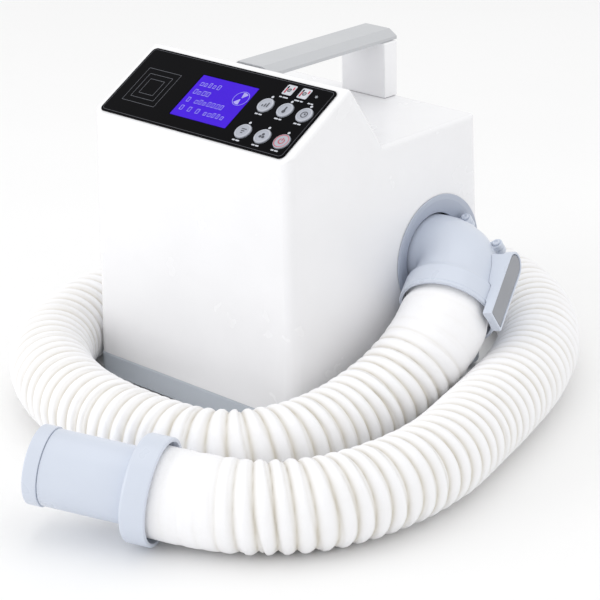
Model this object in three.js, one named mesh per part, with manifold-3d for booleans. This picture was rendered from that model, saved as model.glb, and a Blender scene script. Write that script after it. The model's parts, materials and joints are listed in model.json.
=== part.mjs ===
// Table-top warm-air dryer for animals: housing with a sloped control panel and a carrying handle,
// blower and heater inside, swivelling outlet elbow with a latch, and a corrugated hose with a nozzle.
// Millimetres. +Z up, -Y front, origin at the middle of the footprint on the surface it stands on.
import * as THREE from 'three';
import { mergeVertices } from 'three/addons/utils/BufferGeometryUtils.js';
import Module from 'manifold-3d';

const wasm = await Module();
wasm.setup();

// ---- driving dimensions -------------------------------------------------
const WIDTH = 225;
const DEPTH = 227;
const DRAFT = 0.0204;                 // inward lean of the walls, mm per mm of height
const SHELL_BOTTOM = 24.2;
const FRONT_TOP = 230.9;              // height of the front wall
const RIDGE_HEIGHT = 272;
const RIDGE_BACK = 75;                // ridge behind the front of the footprint
const DECK_HEIGHT = 218;
const VALLEY_BACK = 109.5;            // foot of the rear slope behind the front of the footprint
const WALL = 3;
const CORNER_R = 9;
const GAP = 0.3;
const FOOT_HEIGHT = 4;
const SCREW_PLACES = [[-97, -98], [97, -98], [97, 98], [-97, 98]];
const FOOT_PLACES = [[-82, -84], [82, -84], [82, 84], [-82, 84]];

const PANEL = { halfWidth: 100.4, low: 1.2, high: 74.4, corner: 4.5, thickness: 1 };
const DISPLAY = { x: -0.8, s: 37.2, width: 61.6, height: 45 };
const KEY = { xs: [48.2, 68.6, 88.6], rows: [45.2, 16.4], radius: 7.15 };
const LAMPS = { xs: [57.5, 73.1, 85.4], s: 64.6, radius: 1.3 };
const MOTIF = { x: -69, s: 34.8, radius: 2 };

const OUTLET = { x: 110.2, y: 57.5, z: 113.4, ring: 49.3, neck: 32, bore: 29.5 };
const SWIVEL_TURN = -57.2 * Math.PI / 180;     // turn of the elbow about the outlet axis at rest
const BEND = 72.6 * Math.PI / 180;
const BEND_R = 33.5;
const NECK_OUT = 4;                   // straight neck outside the wall before the bend
const COLLAR = { radius: 38.8, bore: 36.4, length: 20, run: 28.1 };
const BOSSES = [{ x: 5.5, z: 37, reach: 5 }, { x: 48.5, z: 20.8, reach: 6.5 }];
const PAD = { low: -9.5, high: 58, halfWidth: 11.3, face: 45.5, depth: 7 };
const PIVOT = { depth: 6.3, back: 26 };   // latch pin below the pad's face and behind the mouth
const SIDES = 26;                     // sides of the elbow's and cuffs' round sections
const BLADES = 14;

const HOSE_R = 33.5;
const HOSE_INSET = 8;                 // how far each hose end stands inside its collar
const NOZZLE = {
  collar: 39.6, collarLength: 19.5, radius: 28.2, bore: 25.8, length: 76.5, tip: 29.3, tipLength: 11,
};

const BLOWER = { x: -18, y: 57.5, z: 76, start: 50, end: 68, half: 28, skin: 2 };
const DUCT = { radius: 28, bore: 26 };
const INTAKE = { x: BLOWER.x, z: BLOWER.z, opening: 76, frame: 88 };
const INLET = { x: 70, z: 50, width: 34, height: 30, rim: 3 };

const GRIP = { front: -39, rear: 110.8, bottom: 264.4, top: 272, upper: 26, lower: 42 };
const GRIP_BOLT = { front: -29, rear: 100, bore: 2.4, pilot: 1.8 };
const POST = { front: 92.6, rear: 107.6, halfWidth: 24 };

const HOSE_ROUTE = [
  [152.6, 21.6, 91.1], [155.1, 15.2, 87.1], [158.8, 1.5, 78.2], [161, -16, 67.5], [161.5, -36, 57],
  [161.3, -60, 47.4], [160, -86, 40.3], [158.3, -113, 35.8], [155.5, -141, 33.9], [148.5, -169, 33.6],
  [132.5, -194.5, 33.6], [104, -211.5, 33.6], [66, -217.5, 33.6], [26, -217.5, 33.6], [-13, -212.5, 33.6],
  [-52, -201, 33.6], [-88, -183, 33.6], [-120, -156, 33.6], [-144, -119, 33.6], [-159, -72, 33.6],
  [-167, -10, 33.6], [-166, 55, 33.6], [-151, 114, 33.6], [-122, 162, 33.6],
  [-75, 195, 33.6], [-10, 208, 33.6], [57, 198, 33.6], [117, 168, 33.6],
  [165, 120, 33.6], [197, 63, 33.6], [217, 8, 33.6], [233, -46, 33.6],
  [247.5, -104, 33.6], [247.5, -160, 33.6], [233, -210, 33.7], [208, -243, 34.4], [184, -261.5, 35.8],
  [164.5, -272.3, 37.6], [150.3, -279.5, 39.4], [139.4, -284.9, 40.8],
].map(([x, y, z]) => new THREE.Vector3(x, y, z));
const NOZZLE_DIR = new THREE.Vector3(-0.889, -0.443, 0.115).normalize();

// ---- finishes -----------------------------------------------------------
const finish = (color, roughness, metalness = 0) =>
  new THREE.MeshStandardMaterial({ color, roughness, metalness });
const WHITE = finish(0xf1f1f2, 0.32);
const TRAY_GREY = finish(0xaeb5bd, 0.45);
const GRIP_GREY = finish(0xc3c5c8, 0.5);
const RING_GREY = finish(0xa1a7b3, 0.4);
const BLUE_GREY = finish(0xc6cdd9, 0.35);
const PANEL_BLACK = finish(0x0d0d0f, 0.25);
const DISPLAY_BLUE = finish(0x5a34dc, 0.2);
const KEY_GREY = finish(0xb9bcc4, 0.4);
const HOSE_WHITE = finish(0xf2f2f0, 0.6);
const STEEL = finish(0xb8babd, 0.3, 1);
const RUBBER = finish(0x2a2b2d, 0.8);
const BOARD_GREEN = finish(0x1f5a3a, 0.5);
const DARK_PLASTIC = finish(0x2b2d31, 0.55);
const FOAM = finish(0x3c3f42, 0.95);
const CERAMIC = finish(0x6b6157, 0.7);
const COPPER = finish(0xb06a3b, 0.4, 1);
const CLEAR = finish(0xe8e8ea, 0.2);
const IMPELLER_WHITE = finish(0xd9d9d6, 0.5);

// ---- small tools --------------------------------------------------------
const model = new THREE.Group();

function bare(geometry) {
  const g = geometry.clone();
  g.deleteAttribute('normal');
  g.deleteAttribute('uv');
  return mergeVertices(g, 1e-4);
}

function solid(geometry) {
  const g = bare(geometry);
  const mesh = new wasm.Mesh({
    numProp: 3,
    vertProperties: new Float32Array(g.attributes.position.array),
    triVerts: new Uint32Array(g.index.array),
  });
  return new wasm.Manifold(mesh);
}

function fromSolid(body) {
  const mesh = body.getMesh();
  const g = new THREE.BufferGeometry();
  g.setAttribute('position', new THREE.BufferAttribute(new Float32Array(mesh.vertProperties), 3));
  g.setIndex(new THREE.BufferAttribute(new Uint32Array(mesh.triVerts), 1));
  return g;
}

const cut = (base, ...tools) => fromSolid(tools.reduce((b, t) => b.subtract(solid(t)), solid(base)));
const join = (base, ...extra) => fromSolid(extra.reduce((b, t) => b.add(solid(t)), solid(base)));
const common = (a, b) => fromSolid(solid(a).intersect(solid(b)));

function add(parent, name, geometry, material) {
  const g = geometry.index ? geometry.toNonIndexed() : geometry.clone();
  g.deleteAttribute('uv');
  g.computeVertexNormals();
  const mesh = new THREE.Mesh(g, material);
  mesh.name = name;
  parent.add(mesh);
  return mesh;
}

const box = (x0, x1, y0, y1, z0, z1) =>
  new THREE.BoxGeometry(x1 - x0, y1 - y0, z1 - z0).translate((x0 + x1) / 2, (y0 + y1) / 2, (z0 + z1) / 2);

// Turned piece about local Z from [radius, z] pairs, in either order round the section.
function turned(pairs, segments = 24) {
  const points = pairs.map(([r, z]) => new THREE.Vector2(r, z));
  if (THREE.ShapeUtils.area(points) < 0) points.reverse();
  const g = new THREE.LatheGeometry(points, segments);
  return g.rotateX(Math.PI / 2);
}

const rod = (r, z0, z1, segments = 24) => turned([[0, z0], [r, z0], [r, z1], [0, z1]], segments);

function ring(outer, inner, z0, z1, segments = 24) {
  return turned([[inner, z0], [outer, z0], [outer, z1], [inner, z1], [inner, z0]], segments);
}

const alongX = (g) => g.rotateY(Math.PI / 2);      // local Z to +X
const alongY = (g) => g.rotateX(-Math.PI / 2);     // local Z to +Y

function roundedRect(w, h, r) {
  const s = new THREE.Shape();
  s.moveTo(-w / 2 + r, -h / 2);
  s.lineTo(w / 2 - r, -h / 2);
  s.absarc(w / 2 - r, -h / 2 + r, r, -Math.PI / 2, 0);
  s.lineTo(w / 2, h / 2 - r);
  s.absarc(w / 2 - r, h / 2 - r, r, 0, Math.PI / 2);
  s.lineTo(-w / 2 + r, h / 2);
  s.absarc(-w / 2 + r, h / 2 - r, r, Math.PI / 2, Math.PI);
  s.lineTo(-w / 2, -h / 2 + r);
  s.absarc(-w / 2 + r, -h / 2 + r, r, Math.PI, Math.PI * 1.5);
  return s;
}

function slab(shape, z0, z1, curveSegments = 5) {
  const options = { depth: z1 - z0, bevelEnabled: false, curveSegments };
  return new THREE.ExtrudeGeometry(shape, options).translate(0, 0, z0);
}

function polygon(points) {
  return new THREE.Shape(points.map(([x, y]) => new THREE.Vector2(x, y)));
}

// Moves every corner of a closed outline inwards by d; the outline runs anticlockwise.
function inset(points, d) {
  const n = points.length;
  return points.map((p, i) => {
    const a = points[(i + n - 1) % n];
    const b = points[(i + 1) % n];
    const u = new THREE.Vector2(p[0] - a[0], p[1] - a[1]).normalize();
    const v = new THREE.Vector2(b[0] - p[0], b[1] - p[1]).normalize();
    const nu = [-u.y, u.x];
    const nv = [-v.y, v.x];
    const k = d / (1 + nu[0] * nv[0] + nu[1] * nv[1]);
    return [p[0] + (nu[0] + nv[0]) * k, p[1] + (nu[1] + nv[1]) * k];
  });
}

// Leans the walls of an upright solid inwards with height.
function leanWalls(geometry, margin = 0) {
  const p = geometry.attributes.position;
  for (let i = 0; i < p.count; i += 1) {
    const z = p.getZ(i);
    p.setX(i, p.getX(i) * (1 - z * DRAFT / (WIDTH / 2 - margin)));
    p.setY(i, p.getY(i) * (1 - z * DRAFT / (DEPTH / 2 - margin)));
  }
  return geometry;
}

// ---- housing ------------------------------------------------------------
const frontY = -DEPTH / 2;
const panelFoot = [frontY + FRONT_TOP * DRAFT, FRONT_TOP];
const ridge = [frontY + RIDGE_BACK, RIDGE_HEIGHT];
const valley = [frontY + VALLEY_BACK, DECK_HEIGHT];
const PANEL_TILT = Math.atan2(ridge[1] - panelFoot[1], ridge[0] - panelFoot[0]);

function sideOutline(bottom) {
  return [
    [frontY + bottom * DRAFT, bottom],
    [-frontY - bottom * DRAFT, bottom],
    [-frontY - DECK_HEIGHT * DRAFT, DECK_HEIGHT],
    valley,
    ridge,
    panelFoot,
  ];
}

function sideProfileSolid(points, halfWidth) {
  // (y, z) outline pushed along X
  const g = slab(polygon(points), -halfWidth, halfWidth);
  const m = new THREE.Matrix4().set(0, 0, 1, 0, 1, 0, 0, 0, 0, 1, 0, 0, 0, 0, 0, 1);
  return g.applyMatrix4(m);
}

function housingBlock(d) {
  const profile = inset(sideOutline(d > 0 ? SHELL_BOTTOM - 6 : SHELL_BOTTOM), d);
  const prism = slab(roundedRect(WIDTH - 2 * d, DEPTH - 2 * d, CORNER_R - d), 0, RIDGE_HEIGHT + 20);
  return common(sideProfileSolid(profile, WIDTH / 2 + 5), leanWalls(prism, d));
}

const onPanel = (geometry) =>
  geometry.rotateX(PANEL_TILT).translate(0, panelFoot[0], panelFoot[1]);

function panelCutters() {
  const window = box(
    DISPLAY.x - DISPLAY.width / 2 + 1.3, DISPLAY.x + DISPLAY.width / 2 - 1.3,
    DISPLAY.s - DISPLAY.height / 2 + 1.3, DISPLAY.s + DISPLAY.height / 2 - 1.3, -WALL - 3, 3,
  );
  const holes = [window];
  KEY.rows.forEach((s) => KEY.xs.forEach((x) => holes.push(rod(8.9, -8, 2, 12).translate(x, s, 0))));
  LAMPS.xs.forEach((x) => holes.push(rod(LAMPS.radius + GAP, -8, 2, 6).translate(x, LAMPS.s, 0)));
  return holes.map(onPanel);
}

function upperShell(parent) {
  const bossCut = SCREW_PLACES.map(([x, y]) => rod(1.9, 20, 50, 8).translate(x, y, 0));
  const full = solid(housingBlock(0));
  let body = full.subtract(solid(housingBlock(WALL)));
  SCREW_PLACES.forEach(([x, y]) => {
    const post = box(-9, 20, -9, 20, 26, 58).applyMatrix4(
      new THREE.Matrix4().makeScale(Math.sign(x), Math.sign(y), 1));
    if (x * y < 0) post.index.array.reverse();
    body = body.add(solid(post.translate(x, y, 0)).intersect(full));
  });
  const ridgeBoss = box(-24, 24, ridge[0] + 2, ridge[0] + 17, 235, GRIP.bottom - GAP);
  body = body.add(solid(ridgeBoss));
  const outletHole = alongX(rod(46.9, -12, 12, 28)).rotateY(-DRAFT)
    .translate(OUTLET.x, OUTLET.y, OUTLET.z);
  const half = INTAKE.opening / 2;
  const intakeHole = box(INTAKE.x - half, INTAKE.x + half, 100, 120, INTAKE.z - half, INTAKE.z + half);
  const inletReach = [INLET.width / 2 - INLET.rim, INLET.height / 2 - INLET.rim];
  const inletHole = box(INLET.x - inletReach[0], INLET.x + inletReach[0], 100, 120,
    INLET.z - inletReach[1], INLET.z + inletReach[1]);
  const gripBolts = [GRIP_BOLT.front, GRIP_BOLT.rear].map((y) =>
    rod(GRIP_BOLT.bore, 205, 280, 8).translate(0, y, 0));
  const tools = [outletHole, intakeHole, inletHole, ...panelCutters(), ...bossCut, ...gripBolts];
  tools.forEach((t) => { body = body.subtract(solid(t)); });
  add(parent, 'upper_shell', fromSolid(body), WHITE);
}

function baseTray(parent) {
  const top = SHELL_BOTTOM - GAP;
  const outer = slab(roundedRect(WIDTH, DEPTH, CORNER_R), FOOT_HEIGHT, top);
  const pocket = roundedRect(WIDTH - 2 * WALL, DEPTH - 2 * WALL, CORNER_R - WALL);
  const inner = slab(pocket, FOOT_HEIGHT + WALL, 40);
  const screwHoles = SCREW_PLACES.map(([x, y]) => rod(2.4, 0, 30, 8).translate(x, y, 0));
  const footHoles = FOOT_PLACES.map(([x, y]) => rod(3.4, 0, 12, 8).translate(x, y, 0));
  add(parent, 'base_tray', cut(outer, inner, ...screwHoles, ...footHoles), TRAY_GREY);
}

function feetAndScrews(parent) {
  FOOT_PLACES.forEach(([x, y], i) => {
    const foot = turned([[0, 0], [8.5, 0], [9.5, 1], [9.5, 3.7], [3, 3.7], [3, 7.4], [0, 7.4]], 12);
    add(parent, `foot_${i + 1}`, foot, RUBBER).position.set(x, y, 0);
  });
  SCREW_PLACES.forEach(([x, y], i) => {
    const section = [[0, 1.6], [3.8, 1.6], [3.8, 3.7], [2.05, 3.7], [1.6, 25.5], [1.6, 40], [0, 41.5]];
    const screw = turned(section, 8);
    add(parent, `base_screw_${i + 1}`, screw, STEEL).position.set(x, y, 0);
  });
}

// ---- handle -------------------------------------------------------------
function handle(parent) {
  const post = box(-POST.halfWidth, POST.halfWidth, POST.front, POST.rear, DECK_HEIGHT + GAP,
    GRIP.bottom - GAP);
  add(parent, 'handle_post', cut(post, rod(GRIP_BOLT.bore, 200, 280, 8).translate(0, GRIP_BOLT.rear, 0)), WHITE);

  const u = GRIP.upper / 2;
  const l = GRIP.lower / 2;
  const h = GRIP.top - GRIP.bottom;
  const section = polygon([[-l, 0], [l, 0], [l, h * 0.35], [u, h], [-u, h], [-l, h * 0.35]]);
  const bar = slab(section, 0, GRIP.rear - GRIP.front).rotateX(Math.PI / 2)
    .translate(0, GRIP.rear, GRIP.bottom);
  const pilots = [GRIP_BOLT.front, GRIP_BOLT.rear].map((y) =>
    rod(GRIP_BOLT.pilot, 250, 269.6, 8).translate(0, y, 0));
  const rearSlope = sideProfileSolid(inset(sideOutline(SHELL_BOTTOM), -GAP), WIDTH / 3);
  add(parent, 'handle_grip', cut(bar, rearSlope, ...pilots), GRIP_GREY);
  const bolts = [['handle_screw_front', GRIP_BOLT.front, 228], ['handle_screw_rear', GRIP_BOLT.rear, 211.2]];
  bolts.forEach(([name, y, z]) => {
    const bolt = turned([[0, z], [4, z], [4, z + 3], [1.5, z + 3], [1.5, 269.2], [0, 269.2]], 8);
    add(parent, name, bolt, STEEL).position.set(0, y, 0);
  });
}

// ---- control panel ------------------------------------------------------
function controlPanel(parent) {
  const panel = new THREE.Group();
  panel.position.set(0, panelFoot[0], panelFoot[1]);
  panel.rotation.x = PANEL_TILT;
  parent.add(panel);
  const face = GAP + PANEL.thickness;
  const sheet = slab(roundedRect(2 * PANEL.halfWidth, PANEL.high - PANEL.low, PANEL.corner), GAP, face)
    .translate(0, (PANEL.high + PANEL.low) / 2, 0);
  const holes = [box(DISPLAY.x - DISPLAY.width / 2, DISPLAY.x + DISPLAY.width / 2,
    DISPLAY.s - DISPLAY.height / 2, DISPLAY.s + DISPLAY.height / 2, -1, 3)];
  KEY.rows.forEach((s) => KEY.xs.forEach((x) => {
    holes.push(rod(KEY.radius + 0.4, -1, 3, 18).translate(x, s, 0));
  }));
  LAMPS.xs.forEach((x) => holes.push(rod(LAMPS.radius + GAP, -1, 3, 6).translate(x, LAMPS.s, 0)));
  holes.push(rod(MOTIF.radius, -1, 3, 8).translate(MOTIF.x, MOTIF.s, 0));
  add(panel, 'panel_overlay', cut(sheet, ...holes), PANEL_BLACK);

  const w = DISPLAY.width / 2 - GAP;
  const hgt = DISPLAY.height / 2 - GAP;
  add(panel, 'display_window', box(-w, w, -hgt, hgt, GAP, face - 0.2), DISPLAY_BLUE)
    .position.set(DISPLAY.x, DISPLAY.s, 0);
  add(panel, 'display_module', box(-33, 33, -24, 24, -11, -WALL - GAP), DARK_PLASTIC)
    .position.set(DISPLAY.x, DISPLAY.s, 0);

  let key = 0;
  KEY.rows.forEach((s) => KEY.xs.forEach((x) => {
    key += 1;
    const cap = turned([[0, -4.6], [2.4, -4.6], [2.4, -1], [8.3, -1], [8.3, 0], [KEY.radius, 0],
      [KEY.radius, 1.7], [KEY.radius - 0.6, 2.2], [0, 2.2]], 14);
    add(panel, `key_${key}`, cap, KEY_GREY).position.set(x, s, 0);
  }));

  const pins = LAMPS.xs.map((x) => rod(LAMPS.radius, -4.5, face + 0.2, 6).translate(x, LAMPS.s, 0));
  const web = box(LAMPS.xs[0] - 3, LAMPS.xs[2] + 3, LAMPS.s - 2, LAMPS.s + 2, -5.6, -4);
  add(panel, 'light_pipe', join(web, ...pins), CLEAR);

  const boardFace = -6.6;
  const switches = KEY.rows.flatMap((s) => KEY.xs.map((x) =>
    box(x - 3, x + 3, s - 3, s + 3, boardFace - 0.5, -5.3)));
  const board = box(38, 99, 6, 72, boardFace - 1.6, boardFace);
  add(panel, 'control_board', join(board, ...switches), BOARD_GREEN);
}

// ---- outlet and elbow ---------------------------------------------------
function arcCurve(radius, start, end) {
  // centreline of the bend in the XZ plane, leaving along +X and turning towards -Z
  class Bend extends THREE.Curve {
    getPoint(t, target = new THREE.Vector3()) {
      const a = start + (end - start) * t;
      return target.set(radius * Math.sin(a), 0, radius * (Math.cos(a) - 1));
    }
  }
  return new Bend();
}

function circleShape(r, n) {
  return polygon(Array.from({ length: n }, (_, i) => {
    const a = 2 * Math.PI * i / n;
    return [r * Math.cos(a), r * Math.sin(a)];
  }));
}

const mouthX = NECK_OUT + BEND_R * Math.sin(BEND) + COLLAR.run * Math.cos(BEND);
const mouthZ = BEND_R * (Math.cos(BEND) - 1) - COLLAR.run * Math.sin(BEND);

// Takes a piece made in the mouth's own frame (+Z back into the elbow, +X outwards) to the elbow.
function toMouth(geometry) {
  return geometry.rotateY(BEND - Math.PI / 2).translate(mouthX, 0, mouthZ);
}

function elbowSolid(neckR, extra, collarR, collarDepth, mouthReach) {
  const neck = alongX(rod(neckR, -14 - extra, NECK_OUT + 0.2, SIDES));
  const bend = new THREE.ExtrudeGeometry(circleShape(neckR, SIDES),
    { steps: 6, bevelEnabled: false, extrudePath: arcCurve(BEND_R, 0, BEND) }).translate(NECK_OUT, 0, 0);
  const run = toMouth(turned([[0, mouthReach], [collarR, mouthReach], [collarR, collarDepth - 2],
    [collarR - 1.5, collarDepth], [neckR, collarDepth + 6], [neckR, COLLAR.run + 0.2],
    [0, COLLAR.run + 0.2]], SIDES));
  return join(neck, bend, run);
}

function elbow(parent) {
  const group = new THREE.Group();
  group.rotation.x = SWIVEL_TURN;
  parent.add(group);
  const outer = elbowSolid(OUTLET.neck, 0, COLLAR.radius, COLLAR.length, 0);
  const flange = alongX(rod(35.2, -12.2, -9.4, SIDES));
  const bosses = BOSSES.map(({ x, z, reach }) => {
    const barrel = alongY(rod(4.2, -5, 5, 12)).translate(x, 0, z);
    const web = box(-4.2, 4.2, -5, 5, -reach - 6, 0)
      .rotateY(Math.atan2(x - NECK_OUT, z + BEND_R)).translate(x, 0, z);
    return join(barrel, web);
  });
  const bore = elbowSolid(OUTLET.bore, 2, COLLAR.bore, COLLAR.length - 1, -2);
  const screwBores = BOSSES.map(({ x, z }) => alongY(rod(1.9, -8, 8, 8)).translate(x, 0, z));
  const whole = [flange, ...bosses].reduce((b, g) => b.add(solid(g)), solid(outer));
  const hollow = [bore, ...screwBores].reduce((b, g) => b.subtract(solid(g)), whole);
  const halves = [['elbow_upper_half', -90, -GAP / 2], ['elbow_lower_half', GAP / 2, 90]];
  halves.forEach(([name, y0, y1]) => {
    const part = hollow.intersect(solid(box(-60, 120, y0, y1, -120, 80)));
    add(group, name, fromSolid(part), BLUE_GREY);
  });
  BOSSES.forEach(({ x, z }, i) => {
    const screw = alongY(turned([[0, -6.9], [3, -6.9], [3, -5.3], [1.5, -5.3], [1.5, 4.6], [0, 4.6]], 10));
    add(group, `elbow_screw_${i + 1}`, screw, BLUE_GREY).position.set(x, 0, z);
  });
  latch(group);
  return group;
}

function padOutline(margin) {
  const r = PAD.halfWidth - margin;
  const s = new THREE.Shape();
  s.moveTo(-r, PAD.low + margin);
  s.lineTo(r, PAD.low + margin);
  s.lineTo(r, PAD.high - PAD.halfWidth);
  s.absarc(0, PAD.high - PAD.halfWidth, r, 0, Math.PI);
  return s;
}

// Lays a (y, along) outline with its depth towards the elbow at the pad's distance from the axis.
function onPad(shape, near, far) {
  const m = new THREE.Matrix4().set(0, 0, 1, 0, 1, 0, 0, 0, 0, 1, 0, 0, 0, 0, 0, 1);
  return slab(shape, near, far, 8).applyMatrix4(m);
}

function latch(parent) {
  const mouth = new THREE.Group();
  mouth.position.set(mouthX, 0, mouthZ);
  mouth.rotation.y = BEND - Math.PI / 2;
  parent.add(mouth);
  const back = PAD.face - PAD.depth;
  const rim = onPad(padOutline(0), back, PAD.face);
  const pocket = onPad(padOutline(1.8), back - 5, PAD.face + 2);
  const cheeks = [-PAD.halfWidth, PAD.halfWidth - 2.4].map((y) =>
    box(18, PAD.face - 1, y, y + 2.4, 2, 50));
  const clearance = elbowSolid(OUTLET.neck + GAP, 0, COLLAR.radius + GAP, COLLAR.length + GAP, -30)
    .translate(-mouthX, 0, -mouthZ).rotateY(Math.PI / 2 - BEND);
  const pivot = { x: PAD.face - PIVOT.depth, z: PIVOT.back };
  const pinBore = alongY(rod(1.55, -20, 20, 10)).translate(pivot.x, 0, pivot.z);
  const frame = cheeks.reduce((b, g) => b.add(solid(g)), solid(rim).subtract(solid(pocket)))
    .subtract(solid(clearance)).subtract(solid(pinBore));
  add(mouth, 'latch_frame', fromSolid(frame), BLUE_GREY);

  const under = PAD.face - 2.6;
  const plate = onPad(padOutline(2.6), under, PAD.face - 0.4);
  const ribs = Array.from({ length: 8 }, (_, i) =>
    box(PAD.face - 0.6, PAD.face + 0.4, -6.4, 6.4, 31.2 + i * 2.6, 32.4 + i * 2.6));
  const hub = alongY(rod(2.8, -5.2, 5.2, 12)).translate(pivot.x, 0, pivot.z);
  const web = box(pivot.x, under + 0.5, -5.2, 5.2, pivot.z - 2.4, pivot.z + 2.4);
  const hook = box(under - 3, under + 0.5, -5, 5, PAD.low + 3.5, PAD.low + 6.5);
  const leverBore = alongY(rod(1.8, -20, 20, 10)).translate(pivot.x, 0, pivot.z);
  add(mouth, 'latch_lever', cut(join(plate, hub, web, hook, ...ribs), leverBore), RING_GREY);
  add(mouth, 'latch_pin', alongY(rod(1.2, -10.6, 10.6, 8)), STEEL)
    .position.set(pivot.x, 0, pivot.z);
  const coil = alongY(ring(2.6, 1.6, 5.6, 8.4, 12));
  const leg = box(1.7, 2.5, 5.6, 6.6, 0, 10);
  add(mouth, 'latch_spring', join(coil, leg), STEEL).position.set(pivot.x, 0, pivot.z);
}

function outlet(parent) {
  const group = new THREE.Group();
  group.position.set(OUTLET.x, OUTLET.y, OUTLET.z);
  group.rotation.y = -DRAFT;
  parent.add(group);
  const bezel = turned([[33.2, -8], [46.3, -8], [46.3, 0.4], [49.3, 0.4], [49.3, 1.1], [48.4, 1.5],
    [44.5, 0.2], [33.2, -3.8], [33.2, -8]], 32);
  add(group, 'outlet_ring', alongX(bezel), RING_GREY);
  const keeper = turned([[33.2, -16], [44, -16], [44, -8.4], [36.4, -8.4], [36.4, -13], [33.2, -13],
    [33.2, -16]], SIDES);
  add(group, 'swivel_retainer', alongX(keeper), DARK_PLASTIC);
  return elbow(group);
}

// ---- hose and nozzle ----------------------------------------------------
function hoseCuff(end) {
  return ring(COLLAR.bore - GAP, 31, HOSE_INSET + GAP, end, SIDES);
}

function hose(parent) {
  const path = new THREE.CatmullRomCurve3(HOSE_ROUTE, false, 'centripetal');
  const g = new THREE.ExtrudeGeometry(circleShape(HOSE_R, 10),
    { steps: 52, bevelEnabled: false, extrudePath: path });
  add(parent, 'hose', g, HOSE_WHITE);
}

function nozzle(parent) {
  const group = new THREE.Group();
  const mouth = HOSE_ROUTE[HOSE_ROUTE.length - 1].clone().addScaledVector(NOZZLE_DIR, -HOSE_INSET);
  group.position.copy(mouth);
  group.quaternion.setFromUnitVectors(new THREE.Vector3(0, 0, 1), NOZZLE_DIR);
  parent.add(group);
  // local +Z runs from the collar's mouth to the tip
  const { collar, collarLength: reach } = NOZZLE;
  const sleeve = turned([[collar, 0.6], [collar, reach - 2], [collar - 2, reach],
    [NOZZLE.radius + GAP, reach], [NOZZLE.radius + GAP, reach - 2.7], [COLLAR.bore, reach - 2.7],
    [COLLAR.bore, 0], [collar - 0.6, 0], [collar, 0.6]], 28);
  add(group, 'nozzle_collar', sleeve, BLUE_GREY);
  add(group, 'hose_cuff_nozzle', hoseCuff(reach - 5), HOSE_WHITE);
  const tipStart = reach + NOZZLE.length - NOZZLE.tipLength;
  const seat = reach - 4.6;
  const tube = turned([[NOZZLE.bore, seat], [35.5, seat], [35.5, reach - 3], [NOZZLE.radius, reach - 3],
    [NOZZLE.radius, tipStart - GAP], [NOZZLE.radius - 1.2, tipStart - GAP],
    [NOZZLE.radius - 1.2, tipStart + 9], [NOZZLE.bore, tipStart + 9], [NOZZLE.bore, seat]], 28);
  add(group, 'nozzle_tube', tube, BLUE_GREY);
  const tipEnd = tipStart + NOZZLE.tipLength;
  const tip = turned([[NOZZLE.radius - 0.9, tipStart], [NOZZLE.tip, tipStart], [NOZZLE.tip, tipEnd - 0.8],
    [NOZZLE.tip - 0.8, tipEnd], [NOZZLE.bore, tipEnd], [NOZZLE.bore, tipStart + 9.3],
    [NOZZLE.radius - 0.9, tipStart + 9.3], [NOZZLE.radius - 0.9, tipStart]], 28);
  add(group, 'nozzle_tip_ring', tip, BLUE_GREY);
  const peg = turned([[0, 0], [2.6, 0], [2.6, 4.4], [1.9, 5], [0, 5]], 10);
  const pegAngle = 1.2;
  const pegMesh = add(group, 'nozzle_screw', peg, STEEL);
  const side = new THREE.Vector3(Math.cos(pegAngle), Math.sin(pegAngle), 0);
  pegMesh.quaternion.setFromUnitVectors(new THREE.Vector3(0, 0, 1), side);
  pegMesh.position.copy(side).multiplyScalar(NOZZLE.radius + GAP).setZ(reach + 4);
}

// ---- blower and heater --------------------------------------------------
function scrollOutline(d) {
  // (x, z) outline of the scroll about the impeller axis, with its throat towards +X at the top
  const points = [];
  const steps = 18;
  for (let i = 0; i <= steps; i += 1) {
    const a = Math.PI / 2 + (i / steps) * 1.72 * Math.PI;
    const r = BLOWER.end - (BLOWER.end - BLOWER.start) * (i / steps) - d;
    points.push([BLOWER.x + r * Math.cos(a), BLOWER.z + r * Math.sin(a)]);
  }
  const lip = OUTLET.z - 31 + d;
  points.push([45 + (d > 0 ? 5 : 0), lip]);
  points.push([45 + (d > 0 ? 5 : 0), BLOWER.z + BLOWER.end - d]);
  return points;
}

function scrollSlab(d, y0, y1) {
  const m = new THREE.Matrix4().set(1, 0, 0, 0, 0, 0, -1, 0, 0, 1, 0, 0, 0, 0, 0, 1);
  return slab(polygon(scrollOutline(d)), -y1, -y0).applyMatrix4(m);
}

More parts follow.
